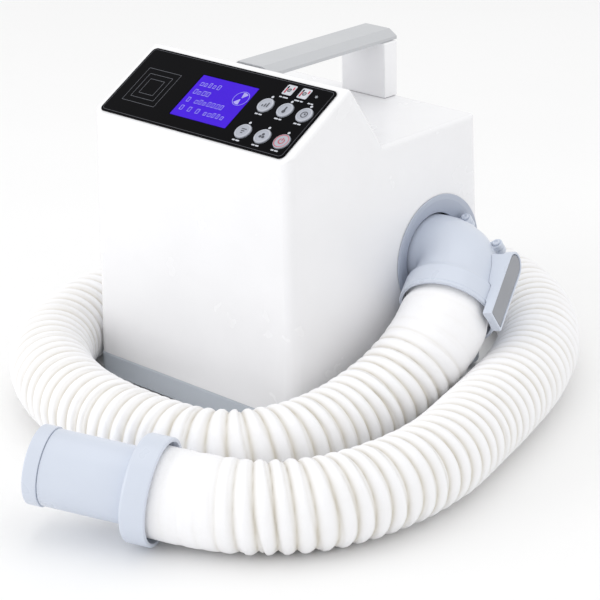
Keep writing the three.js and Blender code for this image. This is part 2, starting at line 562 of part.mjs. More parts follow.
function blower(parent) {
  const { x, y, z, half, skin } = BLOWER;
  const shaftHole = alongY(rod(7, -half - 5, 0, 10)).translate(x, y, z);
  add(parent, 'volute_front', cut(scrollSlab(0, y - half, y - GAP / 2),
    scrollSlab(skin, y - half + skin, y + 5), shaftHole), DARK_PLASTIC);
  const eye = alongY(rod(33, 0, half + 5, 20)).translate(x, y, z);
  add(parent, 'volute_rear', cut(scrollSlab(0, y + GAP / 2, y + half),
    scrollSlab(skin, y - 5, y + half - skin), eye), DARK_PLASTIC);

  const hub = turned([[0, -20], [43, -20], [43, -18], [12, -18], [10, -6], [0, -6]], 20);
  const rimRing = ring(43, 38, 17, 19, 20);
  const blades = Array.from({ length: BLADES }, (_, i) =>
    box(-0.8, 0.8, 36, 42.2, -19, 18).rotateZ(2 * Math.PI * (i + 0.5) / BLADES));
  const wheel = cut(join(hub, rimRing, ...blades), rod(3, -30, 5, 10));
  add(parent, 'impeller', alongY(wheel), IMPELLER_WHITE).position.set(x, y, z);
  const shaft = alongY(rod(2.6, -38, -7, 8));
  add(parent, 'motor_shaft', shaft, STEEL).position.set(x, y, z);
  const motorBody = turned([[3.2, -88], [3.2, -36], [9, -36], [9, -39], [31, -40], [31, -84], [27, -88],
    [3.2, -88]], 20);
  add(parent, 'motor', alongY(motorBody), STEEL).position.set(x, y, z);
  const yoke = join(box(-38, 38, -66, -60, -z + 7.4, 0), box(-38, 38, -78, -48, -z + 7.4, -z + 10.4),
    alongY(rod(38, -66, -60, 20)));
  add(parent, 'motor_bracket', cut(yoke, alongY(rod(31.6, -70, -50, 20))), STEEL).position.set(x, y, z);
}

function heater(parent) {
  const flange = box(45.3, 48.3, OUTLET.y - 28, OUTLET.y + 28, OUTLET.z - 31, OUTLET.z + 31);
  const shift = [0, OUTLET.y, OUTLET.z];
  const tube = alongX(rod(DUCT.radius, 45.3, 101, 20)).translate(...shift);
  const bore = alongX(rod(DUCT.bore, 40, 110, 20)).translate(...shift);
  const sensorHole = rod(1.9, 15, 40, 8).translate(88, OUTLET.y, OUTLET.z);
  add(parent, 'heater_duct', cut(join(flange, tube), bore, sensorHole), STEEL);
  const frame = ring(25.4, 23.4, 52, 76, 20);
  const fins = Array.from({ length: 7 }, (_, i) => {
    const offset = (i - 3) * 6;
    const reach = Math.sqrt(24 ** 2 - offset ** 2);
    return box(offset - 0.7, offset + 0.7, -reach, reach, 54, 74);
  });
  const cross = box(-24.2, 24.2, -0.8, 0.8, 54, 74);
  add(parent, 'heater_element', alongX(join(frame, ...fins, cross)).translate(...shift), CERAMIC);
  const cutout = join(rod(6, 28.4, 33, 10), box(-10, 10, -3, 3, 28.4, 29.6));
  add(parent, 'thermal_cutout', cutout, COPPER).position.set(66, OUTLET.y, OUTLET.z);
  add(parent, 'air_sensor', turned([[0, 12], [1.5, 12], [1.5, 28.4], [3.4, 28.4], [3.4, 33], [0, 33]], 8),
    STEEL).position.set(88, OUTLET.y, OUTLET.z);
}

function rearFace(parent) {
  const wallY = DEPTH / 2 - INTAKE.z * DRAFT;
  const group = new THREE.Group();
  group.position.set(INTAKE.x, wallY, INTAKE.z);
  group.rotation.x = DRAFT;
  parent.add(group);
  const f = INTAKE.frame / 2;
  const o = INTAKE.opening / 2 - 0.5;
  const plate = slab(roundedRect(2 * f, 2 * f, 5), GAP, 2.6);
  const tub = box(-o, o, -o, o, -2.6, 1);
  const slots = Array.from({ length: 9 }, (_, i) => box(-32, 32, -34 + i * 8, -30 + i * 8, -4, 4));
  const screen = cut(join(plate, tub), ...slots);
  add(group, 'filter_grille', screen.rotateX(-Math.PI / 2).rotateY(Math.PI), TRAY_GREY);
  add(group, 'filter_pad', box(-o, o, -10.6, -3, -o, o), FOAM);

  const { width, height, rim } = INLET;
  const inX = width / 2 - rim - GAP - 0.1;
  const inY = height / 2 - rim - GAP - 0.1;
  const inlet = join(box(-width / 2, width / 2, -height / 2, height / 2, GAP, 2.2),
    box(-inX, inX, -inY, inY, -22, 1));
  const socket = box(-11, 11, -8, 8, -14, 4);
  const inletBody = cut(inlet, socket);
  const blades = [-6, 0, 6].map((x) => box(x - 1, x + 1, -2.5, 2.5, -15, -3));
  const wall2 = DEPTH / 2 - INLET.z * DRAFT;
  const mesh = add(parent, 'power_inlet', join(inletBody, ...blades).rotateX(-Math.PI / 2)
    .rotateY(Math.PI), DARK_PLASTIC);
  mesh.position.set(INLET.x, wall2, INLET.z);
  mesh.rotation.x = DRAFT;

  const board = box(-60, 60, -98, -38, 12, 13.6);
  const bits = [box(-50, -14, -90, -60, 13, 42), box(0, 26, -88, -64, 13, 36), box(34, 52, -92, -50, 13, 30),
    rod(7, 13, 40, 10).translate(8, -50, 0), rod(5, 13, 34, 8).translate(-24, -48, 0)];
  add(parent, 'power_board', join(board, ...bits), BOARD_GREEN);
}

upperShell(model);
baseTray(model);
feetAndScrews(model);
handle(model);
controlPanel(model);
const elbowGroup = outlet(model);
const cuff = toMouth(hoseCuff(COLLAR.length - 3.5));
add(elbowGroup, 'hose_cuff_elbow', cuff, HOSE_WHITE);
hose(model);
nozzle(model);
blower(model);
heater(model);
rearFace(model);

export default model;
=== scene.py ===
"""Builds the detailed pieces of a table-top warm-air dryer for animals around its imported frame.

Lengths are in metres, +Z is up and the control panel faces -Y. Small sections are listed in
millimetres, as on a drawing, and metres() turns them to Blender's unit.
"""

import json
import math
import random

import bmesh
import bpy
import numpy as np
from bpy.props import FloatProperty, FloatVectorProperty, IntProperty, PointerProperty
from mathutils import Matrix, Vector
from mathutils.geometry import tessellate_polygon


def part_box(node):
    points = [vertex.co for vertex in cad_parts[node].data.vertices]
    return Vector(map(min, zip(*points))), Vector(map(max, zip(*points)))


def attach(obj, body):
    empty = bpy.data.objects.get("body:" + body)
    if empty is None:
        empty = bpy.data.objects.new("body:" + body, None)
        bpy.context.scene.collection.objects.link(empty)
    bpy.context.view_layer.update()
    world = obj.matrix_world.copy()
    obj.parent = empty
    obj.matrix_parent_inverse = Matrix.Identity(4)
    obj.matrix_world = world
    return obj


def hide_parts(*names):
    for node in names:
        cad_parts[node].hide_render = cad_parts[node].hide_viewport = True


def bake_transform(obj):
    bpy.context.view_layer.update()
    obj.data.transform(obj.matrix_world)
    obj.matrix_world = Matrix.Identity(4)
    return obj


bl_info = {
    "name": "Warm-Air Animal Dryer",
    "version": (1, 0, 0),
    "blender": (4, 5, 0),
    "location": "View3D > Sidebar > Dryer",
    "description": "Builds the housing, panel, elbow, hose and nozzle of a table-top animal dryer",
    "category": "Object",
}

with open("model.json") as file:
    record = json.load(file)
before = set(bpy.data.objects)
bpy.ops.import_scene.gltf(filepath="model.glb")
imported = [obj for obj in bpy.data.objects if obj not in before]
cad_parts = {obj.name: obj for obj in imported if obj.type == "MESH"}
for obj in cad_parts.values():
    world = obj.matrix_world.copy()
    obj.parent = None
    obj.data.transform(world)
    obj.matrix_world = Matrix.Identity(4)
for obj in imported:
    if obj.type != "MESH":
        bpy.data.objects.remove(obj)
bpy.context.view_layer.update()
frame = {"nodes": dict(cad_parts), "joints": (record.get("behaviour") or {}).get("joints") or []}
NODES = frame["nodes"]
JOINTS = {joint["name"]: joint for joint in frame["joints"]}

# ---- dimensions that the frame gives --------------------------------------------------------
MM = 0.001
TRAY_LOW, TRAY_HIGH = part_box("base_tray")
SHELL_LOW, SHELL_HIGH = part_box("upper_shell")
WIDTH = TRAY_HIGH.x - TRAY_LOW.x
DEPTH = TRAY_HIGH.y - TRAY_LOW.y
FOOT_HEIGHT = TRAY_LOW.z
SHELL_BOTTOM = SHELL_LOW.z
RIDGE_HEIGHT = SHELL_HIGH.z
OUTLET_CENTRE = Vector(JOINTS["elbow_swivel"]["pos_m"])

# ---- dimensions of the moulded parts --------------------------------------------------------
GAP = 0.0003
WALL = 0.003
DRAFT = 0.0204                    # the walls lean in by this much for each unit of height
CORNER = 0.009
FRONT_TOP = 0.2309
RIDGE_BACK = 0.075
DECK_HEIGHT = 0.218
VALLEY_BACK = 0.1095

PANEL_HALF = 0.1004
PANEL_LOW, PANEL_HIGH = 0.0012, 0.0744
OVERLAY_FACE = 0.0013
DISPLAY = {"x": -0.0008, "s": 0.0372, "width": 0.0616, "height": 0.045}
KEY_COLUMNS = (0.0482, 0.0686, 0.0886)
KEY_ROWS = (0.0452, 0.0164)
KEY_RADIUS = 0.00715
LAMP_COLUMNS = (0.0575, 0.0731, 0.0854)
LAMP_ROW = 0.0646
SOUNDER = {"x": -0.069, "s": 0.0348, "size": 0.0368}

SWIVEL_TURN = math.radians(-57.2)
BEND = math.radians(72.6)
BEND_RADIUS = 0.0335
NECK_OUT = 0.004
COLLAR_RUN = 0.0281
BOSSES = ((0.0055, 0.037, 0.011), (0.0485, 0.0208, 0.0125))
PAD = {"low": -0.0095, "high": 0.058, "half": 0.0113, "face": 0.0455, "depth": 0.007}
PIVOT = (0.0392, 0.026)

HOSE_RADIUS = 0.0335
HOSE_INSET = 0.008
NOZZLE_DIRECTION = Vector((-0.889, -0.443, 0.115)).normalized()
NOZZLE = {"collar": 39.6, "reach": 19.5, "radius": 28.2, "bore": 25.8, "length": 76.5, "tip": 29.3}
HOSE_ROUTE = [
    (0.1526, 0.0216, 0.0911), (0.1551, 0.0152, 0.0871), (0.1588, 0.0015, 0.0782), (0.161, -0.016, 0.0675),
    (0.1615, -0.036, 0.057), (0.1613, -0.06, 0.0474), (0.16, -0.086, 0.0403), (0.1583, -0.113, 0.0358),
    (0.1555, -0.141, 0.0339), (0.1485, -0.169, 0.0336), (0.1325, -0.1945, 0.0336), (0.104, -0.2115, 0.0336),
    (0.066, -0.2175, 0.0336), (0.026, -0.2175, 0.0336), (-0.013, -0.2125, 0.0336), (-0.052, -0.201, 0.0336),
    (-0.088, -0.183, 0.0336), (-0.12, -0.156, 0.0336), (-0.144, -0.119, 0.0336), (-0.159, -0.072, 0.0336),
    (-0.167, -0.01, 0.0336), (-0.166, 0.055, 0.0336), (-0.151, 0.114, 0.0336), (-0.122, 0.162, 0.0336),
    (-0.075, 0.195, 0.0336), (-0.01, 0.208, 0.0336), (0.057, 0.198, 0.0336), (0.117, 0.168, 0.0336),
    (0.165, 0.12, 0.0336), (0.197, 0.063, 0.0336), (0.217, 0.008, 0.0336), (0.233, -0.046, 0.0336),
    (0.2475, -0.104, 0.0336), (0.2475, -0.16, 0.0336), (0.233, -0.21, 0.0337), (0.208, -0.243, 0.0344),
    (0.184, -0.2615, 0.0358), (0.1645, -0.2723, 0.0376), (0.1503, -0.2795, 0.0394), (0.1394, -0.2849, 0.0408),
]

FRONT = -DEPTH / 2
PANEL_FOOT = Vector((0, FRONT + FRONT_TOP * DRAFT, FRONT_TOP))
RIDGE = Vector((0, FRONT + RIDGE_BACK, RIDGE_HEIGHT))
VALLEY = Vector((0, FRONT + VALLEY_BACK, DECK_HEIGHT))
PANEL_TILT = math.atan2(RIDGE.z - PANEL_FOOT.z, RIDGE.y - PANEL_FOOT.y)
PANEL_PLACE = Matrix.Translation(PANEL_FOOT) @ Matrix.Rotation(PANEL_TILT, 4, "X")

ALONG_X = Matrix.Rotation(math.pi / 2, 4, "Y")
ALONG_Y = Matrix.Rotation(-math.pi / 2, 4, "X")
OUTLET_PLACE = Matrix.Translation(OUTLET_CENTRE) @ Matrix.Rotation(-DRAFT, 4, "Y")
ELBOW_PLACE = OUTLET_PLACE @ Matrix.Rotation(SWIVEL_TURN, 4, "X")
MOUTH = Vector((
    NECK_OUT + BEND_RADIUS * math.sin(BEND) + COLLAR_RUN * math.cos(BEND),
    0,
    BEND_RADIUS * (math.cos(BEND) - 1) - COLLAR_RUN * math.sin(BEND),
))
MOUTH_PLACE = ELBOW_PLACE @ Matrix.Translation(MOUTH) @ Matrix.Rotation(BEND - math.pi / 2, 4, "Y")
NOZZLE_MOUTH = Vector(HOSE_ROUTE[-1]) - NOZZLE_DIRECTION * HOSE_INSET
NOZZLE_PLACE = (Matrix.Translation(NOZZLE_MOUTH)
                @ Vector((0, 0, 1)).rotation_difference(NOZZLE_DIRECTION).to_matrix().to_4x4())


# ---- colours and materials ------------------------------------------------------------------
def linear(code):
    """A hex sRGB colour, such as C6CDD9, as the linear RGBA that a shader takes."""
    channels = [int(code[i:i + 2], 16) / 255 for i in (0, 2, 4)]
    return [c / 12.92 if c <= 0.04045 else ((c + 0.055) / 1.055) ** 2.4 for c in channels] + [1.0]


def darker(colour, share):
    """The colour with that share of its light left."""
    return [channel * share for channel in colour[:3]] + [1.0]


def add_node(tree, kind, settings=None, links=None):
    """Adds one node. Settings go to its sockets or its own options, and links feed its sockets."""
    node = tree.nodes.new(kind)
    for name, value in (settings or {}).items():
        if isinstance(name, int) or name in node.inputs:
            node.inputs[name].default_value = value
        else:
            setattr(node, name, value)
    for name, source in (links or {}).items():
        tree.links.new(source, node.inputs[name])
    return node


def new_finish(name):
    """An empty material of that name and its node tree."""
    material = bpy.data.materials.new(name)
    material.use_nodes = True
    material.node_tree.nodes.clear()
    return material, material.node_tree


def surface(tree, settings, links):
    """Ends a material with its shader and output."""
    shader = add_node(tree, "ShaderNodeBsdfPrincipled", settings, links)
    add_node(tree, "ShaderNodeOutputMaterial", links={"Surface": shader.outputs["BSDF"]})
    return shader


def patches(tree, place, size, low, high, seed=0.0):
    """Soft patches of that size, in metres, that run from low to high."""
    noise = add_node(tree, "ShaderNodeTexNoise", {
        "noise_dimensions": "4D", "Scale": 1 / size, "Detail": 3.0, "Roughness": 0.55, "W": seed,
    }, {"Vector": place})
    return add_node(tree, "ShaderNodeMapRange", {
        "From Min": 0.3, "From Max": 0.7, "To Min": low, "To Max": high,
    }, {"Value": noise.outputs["Fac"]}).outputs["Result"]


def tinted(tree, colour, other, share):
    """The colour, with some of the other one mixed in where share says so."""
    return add_node(tree, "ShaderNodeMix", {
        "data_type": "RGBA", 6: list(colour), 7: list(other),
    }, {0: share}).outputs[2]


def moulded_abs(name, colour, roughness, texture=0.0009, relief=0.00002, coat=0.0, other=None):
    """Injection-moulded ABS: an even colour under a fine spark-eroded grain, with soft sink marks
    that make its highlights swim a little."""
    material, tree = new_finish(name)
    place = add_node(tree, "ShaderNodeTexCoord").outputs["Object"]
    cloud = patches(tree, place, 0.06, 0.0, 1.0, seed=2.0)
    base = tinted(tree, colour, other or darker(colour, 0.965), cloud)
    rough = patches(tree, place, 0.035, roughness * 0.86, roughness * 1.18, seed=5.0)
    grain = add_node(tree, "ShaderNodeTexNoise", {
        "Scale": 1 / texture, "Detail": 2.0, "Roughness": 0.5,
    }, {"Vector": place})
    sink = add_node(tree, "ShaderNodeTexNoise", {"Scale": 1 / 0.07, "Detail": 1.0}, {"Vector": place})
    wave = add_node(tree, "ShaderNodeBump", {"Strength": 0.25, "Distance": 0.00012},
                    {"Height": sink.outputs["Fac"]})
    bump = add_node(tree, "ShaderNodeBump", {"Strength": 0.6, "Distance": relief},
                    {"Height": grain.outputs["Fac"], "Normal": wave.outputs["Normal"]})
    surface(tree, {"IOR": 1.53, "Coat Weight": coat, "Coat Roughness": 0.12},
            {"Base Color": base, "Roughness": rough, "Normal": bump.outputs["Normal"]})
    return material


def coated_cloth(name, colour, fold_shade_colour):
    """Woven polyester coated with white PVC: soft low sheen, a thread pattern that just shows
    through the coating, and painted shade, warmer and greyer, deep in the folds between the wire turns."""
    material, tree = new_finish(name)
    place = add_node(tree, "ShaderNodeTexCoord").outputs["Object"]
    # painted shade: how deep in a fold each point lies, read from the hose's fold attribute, darkens the
    # colour there
    depth = add_node(tree, "ShaderNodeAttribute", {"attribute_name": "fold"})
    along = add_node(tree, "ShaderNodeAttribute", {"attribute_name": "weave"})
    cloud = patches(tree, place, 0.03, -0.06, 0.06, seed=3.0)
    share = add_node(tree, "ShaderNodeMath", {"operation": "ADD", "use_clamp": True},
                     {0: depth.outputs["Fac"], 1: cloud})
    base = tinted(tree, colour, fold_shade_colour, share.outputs[0])
    # threads 0.6 mm apart, drawn at 1.5 mm so that they still show
    warp = add_node(tree, "ShaderNodeTexWave", {
        "wave_type": "BANDS", "bands_direction": "X", "Scale": 1 / 0.0015 / 20 * math.pi, "Distortion": 0.0,
    }, {"Vector": along.outputs["Vector"]})
    weft = add_node(tree, "ShaderNodeTexWave", {
        "wave_type": "BANDS", "bands_direction": "Y", "Scale": 1 / 0.0015 / 20 * math.pi, "Distortion": 0.0,
    }, {"Vector": along.outputs["Vector"]})
    threads = add_node(tree, "ShaderNodeMath", {"operation": "MAXIMUM"},
                       {0: warp.outputs["Fac"], 1: weft.outputs["Fac"]})
    wrinkle = add_node(tree, "ShaderNodeTexNoise", {"Scale": 1 / 0.008, "Detail": 3.0, "Roughness": 0.6},
                       {"Vector": place})
    soft = add_node(tree, "ShaderNodeBump", {"Strength": 0.35, "Distance": 0.0012},
                    {"Height": wrinkle.outputs["Fac"]})
    bump = add_node(tree, "ShaderNodeBump", {"Strength": 0.25, "Distance": 0.00005},
                    {"Height": threads.outputs[0], "Normal": soft.outputs["Normal"]})
    rough = patches(tree, place, 0.012, 0.42, 0.6, seed=7.0)
    surface(tree, {"IOR": 1.54, "Sheen Weight": 0.12, "Sheen Roughness": 0.5},
            {"Base Color": base, "Roughness": rough, "Normal": bump.outputs["Normal"]})
    return material


def soft_pvc(name, colour):
    """Dipped soft PVC of the hose's end cuffs: a satin white skin with a slightly oily sheen."""
    material, tree = new_finish(name)
    place = add_node(tree, "ShaderNodeTexCoord").outputs["Object"]
    base = tinted(tree, colour, darker(colour, 0.93), patches(tree, place, 0.02, 0.0, 1.0))
    rough = patches(tree, place, 0.01, 0.35, 0.5, seed=4.0)
    surface(tree, {"IOR": 1.53}, {"Base Color": base, "Roughness": rough})
    return material


def plated_steel(name):
    """Zinc-plated steel: a cool grey metal with the faint spangle and dull patches of the plating."""
    material, tree = new_finish(name)
    place = add_node(tree, "ShaderNodeTexCoord").outputs["Object"]
    base = tinted(tree, linear("C2C4C8"), linear("9FA2A8"), patches(tree, place, 0.006, 0.0, 1.0))
    rough = patches(tree, place, 0.004, 0.24, 0.42, seed=1.0)
    surface(tree, {"Metallic": 1.0}, {"Base Color": base, "Roughness": rough})
    return material


def printed_film(name, colour):
    """Back-printed polycarbonate film: deep black under a glossy hard coat with a faint orange peel."""
    material, tree = new_finish(name)
    place = add_node(tree, "ShaderNodeTexCoord").outputs["Object"]
    base = tinted(tree, colour, darker(colour, 0.6), patches(tree, place, 0.04, 0.0, 1.0))
    peel = add_node(tree, "ShaderNodeTexNoise", {"Scale": 1 / 0.0025, "Detail": 1.0}, {"Vector": place})
    bump = add_node(tree, "ShaderNodeBump", {"Strength": 0.12, "Distance": 0.00004},
                    {"Height": peel.outputs["Fac"]})
    rough = patches(tree, place, 0.03, 0.16, 0.26, seed=6.0)
    surface(tree, {"IOR": 1.58, "Specular IOR Level": 0.03},
            {"Base Color": base, "Roughness": rough, "Normal": bump.outputs["Normal"]})
    return material


def lit_display(name, colour, strength):
    """Negative blue LCD behind glass: it glows evenly, with the fine dot grid of its 0.42 mm
    pixels."""
    material, tree = new_finish(name)
    place = add_node(tree, "ShaderNodeTexCoord").outputs["Object"]
    cloud = patches(tree, place, 0.05, 0.0, 1.0, seed=8.0)
    # the real dots are 0.42 mm apart; they are drawn 1.3 mm apart so that the grid shows
    dots = add_node(tree, "ShaderNodeTexVoronoi", {
        "feature": "F1", "distance": "CHEBYCHEV", "Scale": 1 / 0.0013, "Randomness": 0.0,
    }, {"Vector": place})
    share = add_node(tree, "ShaderNodeMath",
                     {"operation": "MULTIPLY_ADD", 1: 0.25, 2: 0.0, "use_clamp": True},
                     {0: dots.outputs["Distance"]})
    mixed = add_node(tree, "ShaderNodeMath", {"operation": "MULTIPLY_ADD", 1: 0.35, "use_clamp": True},
                     {0: cloud, 2: share.outputs[0]})
    base = tinted(tree, colour, darker(colour, 0.72), mixed.outputs[0])
    surface(tree, {"IOR": 1.52, "Roughness": 0.12, "Specular IOR Level": 0.1, "Emission Strength": strength},
            {"Base Color": base, "Emission Color": base})
    return material


def ink(name, colour, glow=0.0):
    """Screen-printed ink: a thin matt layer whose density drifts a little over the print."""
    material, tree = new_finish(name)
    place = add_node(tree, "ShaderNodeTexCoord").outputs["Object"]
    base = tinted(tree, colour, darker(colour, 0.82), patches(tree, place, 0.004, 0.0, 1.0))
    surface(tree, {"IOR": 1.5, "Roughness": 0.45, "Emission Strength": glow},
            {"Base Color": base, "Emission Color": base})
    return material


def vulcanised_rubber(name):
    """Black moulded rubber: nearly matt, with a dusty bloom and a coarse moulded skin."""
    material, tree = new_finish(name)
    place = add_node(tree, "ShaderNodeTexCoord").outputs["Object"]
    base = tinted(tree, linear("26272A"), linear("3B3C3F"), patches(tree, place, 0.005, 0.0, 1.0))
    skin = add_node(tree, "ShaderNodeTexNoise", {"Scale": 1 / 0.0008, "Detail": 2.0}, {"Vector": place})
    bump = add_node(tree, "ShaderNodeBump", {"Strength": 0.5, "Distance": 0.0001},
                    {"Height": skin.outputs["Fac"]})
    surface(tree, {"IOR": 1.52, "Roughness": 0.8},
            {"Base Color": base, "Normal": bump.outputs["Normal"]})
    return material


def open_foam(name):
    """Reticulated polyurethane filter foam: dark, matt and pitted by cells 1.2 mm across, with painted shade
    darkest in the middle of each cell.
    """
    material, tree = new_finish(name)
    place = add_node(tree, "ShaderNodeTexCoord").outputs["Object"]
    cells = add_node(tree, "ShaderNodeTexVoronoi", {"feature": "F1", "Scale": 1 / 0.0012}, {"Vector": place})
    # painted shade: the colour is darkest in the middle of each cell, where the pit is deepest
    base = tinted(tree, linear("15171A"), linear("4A4E52"), cells.outputs["Distance"])
    bump = add_node(tree, "ShaderNodeBump", {"Strength": 0.9, "Distance": 0.0005},
                    {"Height": cells.outputs["Distance"]})
    surface(tree, {"IOR": 1.5, "Roughness": 0.95},
            {"Base Color": base, "Normal": bump.outputs["Normal"]})
    return material


def glass_board(name):
    """Glass-fibre circuit board: green solder mask over copper tracks, semi-gloss."""
    material, tree = new_finish(name)
    place = add_node(tree, "ShaderNodeTexCoord").outputs["Object"]
    tracks = add_node(tree, "ShaderNodeTexBrick", {
        "Scale": 1 / 0.004, "Mortar Size": 0.04, "Color1": linear("1C5236"), "Color2": linear("174A30"),
        "Mortar": linear("2F7A52"),
    }, {"Vector": place})
    surface(tree, {"IOR": 1.55, "Roughness": 0.35, "Coat Weight": 0.3},
            {"Base Color": tracks.outputs["Color"]})
    return material


def filled_nylon(name, colour, roughness):
    """Glass-filled nylon: matt, with the pale streaks that its fibres leave along the flow."""
    material, tree = new_finish(name)
    place = add_node(tree, "ShaderNodeTexCoord").outputs["Object"]
    streaks = add_node(tree, "ShaderNodeTexNoise", {"Scale": 1 / 0.003, "Detail": 4.0, "Distortion": 1.5},
                       {"Vector": place})
    base = tinted(tree, colour, [min(1, c * 1.35) for c in colour[:3]] + [1.0], streaks.outputs["Fac"])
    bump = add_node(tree, "ShaderNodeBump", {"Strength": 0.3, "Distance": 0.00006},
                    {"Height": streaks.outputs["Fac"]})
    surface(tree, {"IOR": 1.53, "Roughness": roughness},
            {"Base Color": base, "Normal": bump.outputs["Normal"]})
    return material


def clear_acrylic(name):
    """Clear cast acrylic of the light guides: sharp highlights over a bright, faintly blue core."""
    material, tree = new_finish(name)
    place = add_node(tree, "ShaderNodeTexCoord").outputs["Object"]
    base = tinted(tree, linear("E9EDF2"), linear("C9D3DE"), patches(tree, place, 0.002, 0.0, 1.0))
    surface(tree, {"IOR": 1.49, "Roughness": 0.08, "Transmission Weight": 0.6}, {"Base Color": base})
    return material


def finish(name):
    """The material of that name, made when the first piece asks for it."""
    found = bpy.data.materials.get(name)
    if found:
        return found
    colours = bpy.context.scene.dryer_colours
    shell, tray, grip = (list(c) + [1.0] for c in (colours.shell, colours.tray, colours.grip))
    ring, lever, elbow, key = (list(c) + [1.0] for c in (
        colours.ring, colours.lever, colours.elbow, colours.key))
    makers = {
        "abs_moulded_gloss_white": lambda n: moulded_abs(n, shell, 0.24, 0.0012, 0.00001, coat=0.25),
        "abs_moulded_satin_tray": lambda n: moulded_abs(n, tray, 0.42, 0.0009, 0.00003),
        "abs_moulded_satin_grip": lambda n: moulded_abs(n, grip, 0.4, 0.0009, 0.00003),
        "abs_moulded_bezel_grey": lambda n: moulded_abs(n, ring, 0.38, 0.0009, 0.00002),
        "abs_moulded_lever_grey": lambda n: moulded_abs(n, lever, 0.42, 0.0009, 0.00002),
        "abs_moulded_pale_blue": lambda n: moulded_abs(n, elbow, 0.3, 0.001, 0.000015, coat=0.1),
        "abs_painted_silver_key": lambda n: moulded_abs(n, key, 0.34, 0.0006, 0.00002),
        "pc_film_printed_black": lambda n: printed_film(n, list(colours.overlay) + [1.0]),
        "lcd_backlit_blue": lambda n: lit_display(n, list(colours.display) + [1.0], 0.6),
        "ink_screened_white": lambda n: ink(n, linear("CDD0D8")),
        "ink_screened_grey": lambda n: ink(n, linear("55565E")),
        "ink_screened_pale": lambda n: ink(n, linear("C6C9D1")),
        "ink_screened_dark": lambda n: ink(n, linear("4A4C55")),
        "ink_screened_red": lambda n: ink(n, linear("C8475A")),
        "ink_lcd_segments": lambda n: ink(n, linear("9E98D8"), glow=0.2),
        "pvc_coated_polyester": lambda n: coated_cloth(n, list(colours.hose) + [1.0],
                                                       list(colours.hose_fold_shade) + [1.0]),
        "pvc_dipped_cuff": lambda n: soft_pvc(n, list(colours.hose) + [1.0]),
        "steel_zinc_plated": plated_steel,
        "rubber_moulded_black": vulcanised_rubber,
        "foam_reticulated": open_foam,
        "fr4_solder_mask": glass_board,
        "nylon_glass_filled": lambda n: filled_nylon(n, linear("2C2E33"), 0.55),
        "mica_ceramic": lambda n: filled_nylon(n, linear("6B6157"), 0.75),
        "polypropylene_white": lambda n: filled_nylon(n, linear("C9C9C6"), 0.5),
        "acrylic_clear": clear_acrylic,
    }
    return makers[name](name)


# ---- mesh tools -----------------------------------------------------------------------------
def metres(rows):
    """Rows of millimetres, as on a drawing, as vectors in metres."""
    return [Vector([value * MM for value in row]) for row in rows]


def make(name, parts, place=None):
    """A mesh object from closed parts, each a list of points and a list of faces."""
    points, faces = [], []
    for part_points, part_faces in parts:
        start = len(points)
        points += [tuple(p) for p in part_points]
        faces += [[start + i for i in face] for face in part_faces]
    mesh = bpy.data.meshes.new(name)
    mesh.from_pydata(points, [], faces)
    work = bmesh.new()
    work.from_mesh(mesh)
    bmesh.ops.recalc_face_normals(work, faces=work.faces)
    work.to_mesh(mesh)
    work.free()
    if place is not None:
        mesh.transform(place)
    piece = bpy.data.objects.new(name, mesh)
    bpy.context.scene.collection.objects.link(piece)
    return piece


def settle(piece):
    """Turns the piece's modifiers into plain mesh."""
    graph = bpy.context.evaluated_depsgraph_get()
    mesh = bpy.data.meshes.new_from_object(piece.evaluated_get(graph))
    piece.modifiers.clear()
    piece.data = mesh
    return piece


def round_edges(piece, width, segments=3, angle=30, weighted=False):
    """Rounds the piece's sharp edges, or the weighted ones, to that width."""
    bevel = piece.modifiers.new("round", "BEVEL")
    bevel.width = width
    bevel.segments = segments
    bevel.limit_method = "WEIGHT" if weighted else "ANGLE"
    bevel.angle_limit = math.radians(angle)
    bevel.use_clamp_overlap = True
    return settle(piece)


def cut_away(piece, cutter):
    """Takes the cutter's volume out of the piece and drops the cutter."""
    boolean = piece.modifiers.new("cut", "BOOLEAN")
    boolean.operation = "DIFFERENCE"
    boolean.solver = "EXACT"
    boolean.object = cutter
    settle(piece)
    bpy.data.objects.remove(cutter)
    return piece


def dress(piece, material, body, nodes=(), crease=32):
    """Shades the piece, gives it its material, hides the CAD parts that it replaces and lets it ride on its
    body.
    """
    piece.data.materials.clear()
    piece.data.materials.append(finish(material))
    piece.data.shade_smooth()
    piece.data.set_sharp_from_angle(angle=math.radians(crease))
    even = piece.modifiers.new("even", "WEIGHTED_NORMAL")
    even.keep_sharp = True
    settle(piece)
    if body:
        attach(piece, body)
    if nodes:
        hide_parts(*nodes)
    return piece


def loft(rings, looped=False):
    """Skins rings of equally many points; open ends are capped."""
    count = len(rings[0])
    points = [p for ring in rings for p in ring]
    spans = len(rings) if looped else len(rings) - 1
    faces = []
    for i in range(spans):
        near, far = i * count, (i + 1) % len(rings) * count
        faces += [(near + j, near + (j + 1) % count, far + (j + 1) % count, far + j) for j in range(count)]
    if not looped:
        faces += [list(range(count)), list(range(len(points) - count, len(points)))]
    return points, faces


def lathe(section, sides=72, looped=False):
    """Turns a section of (radius, height) points about Z."""
    rings = [[Vector((r * math.cos(2 * math.pi * i / sides), r * math.sin(2 * math.pi * i / sides), z))
              for i in range(sides)] for r, z in section]
    return loft(rings, looped)


def moved(part, place):
    """The part's points at that place."""
    points, faces = part
    return [place @ p for p in points], faces


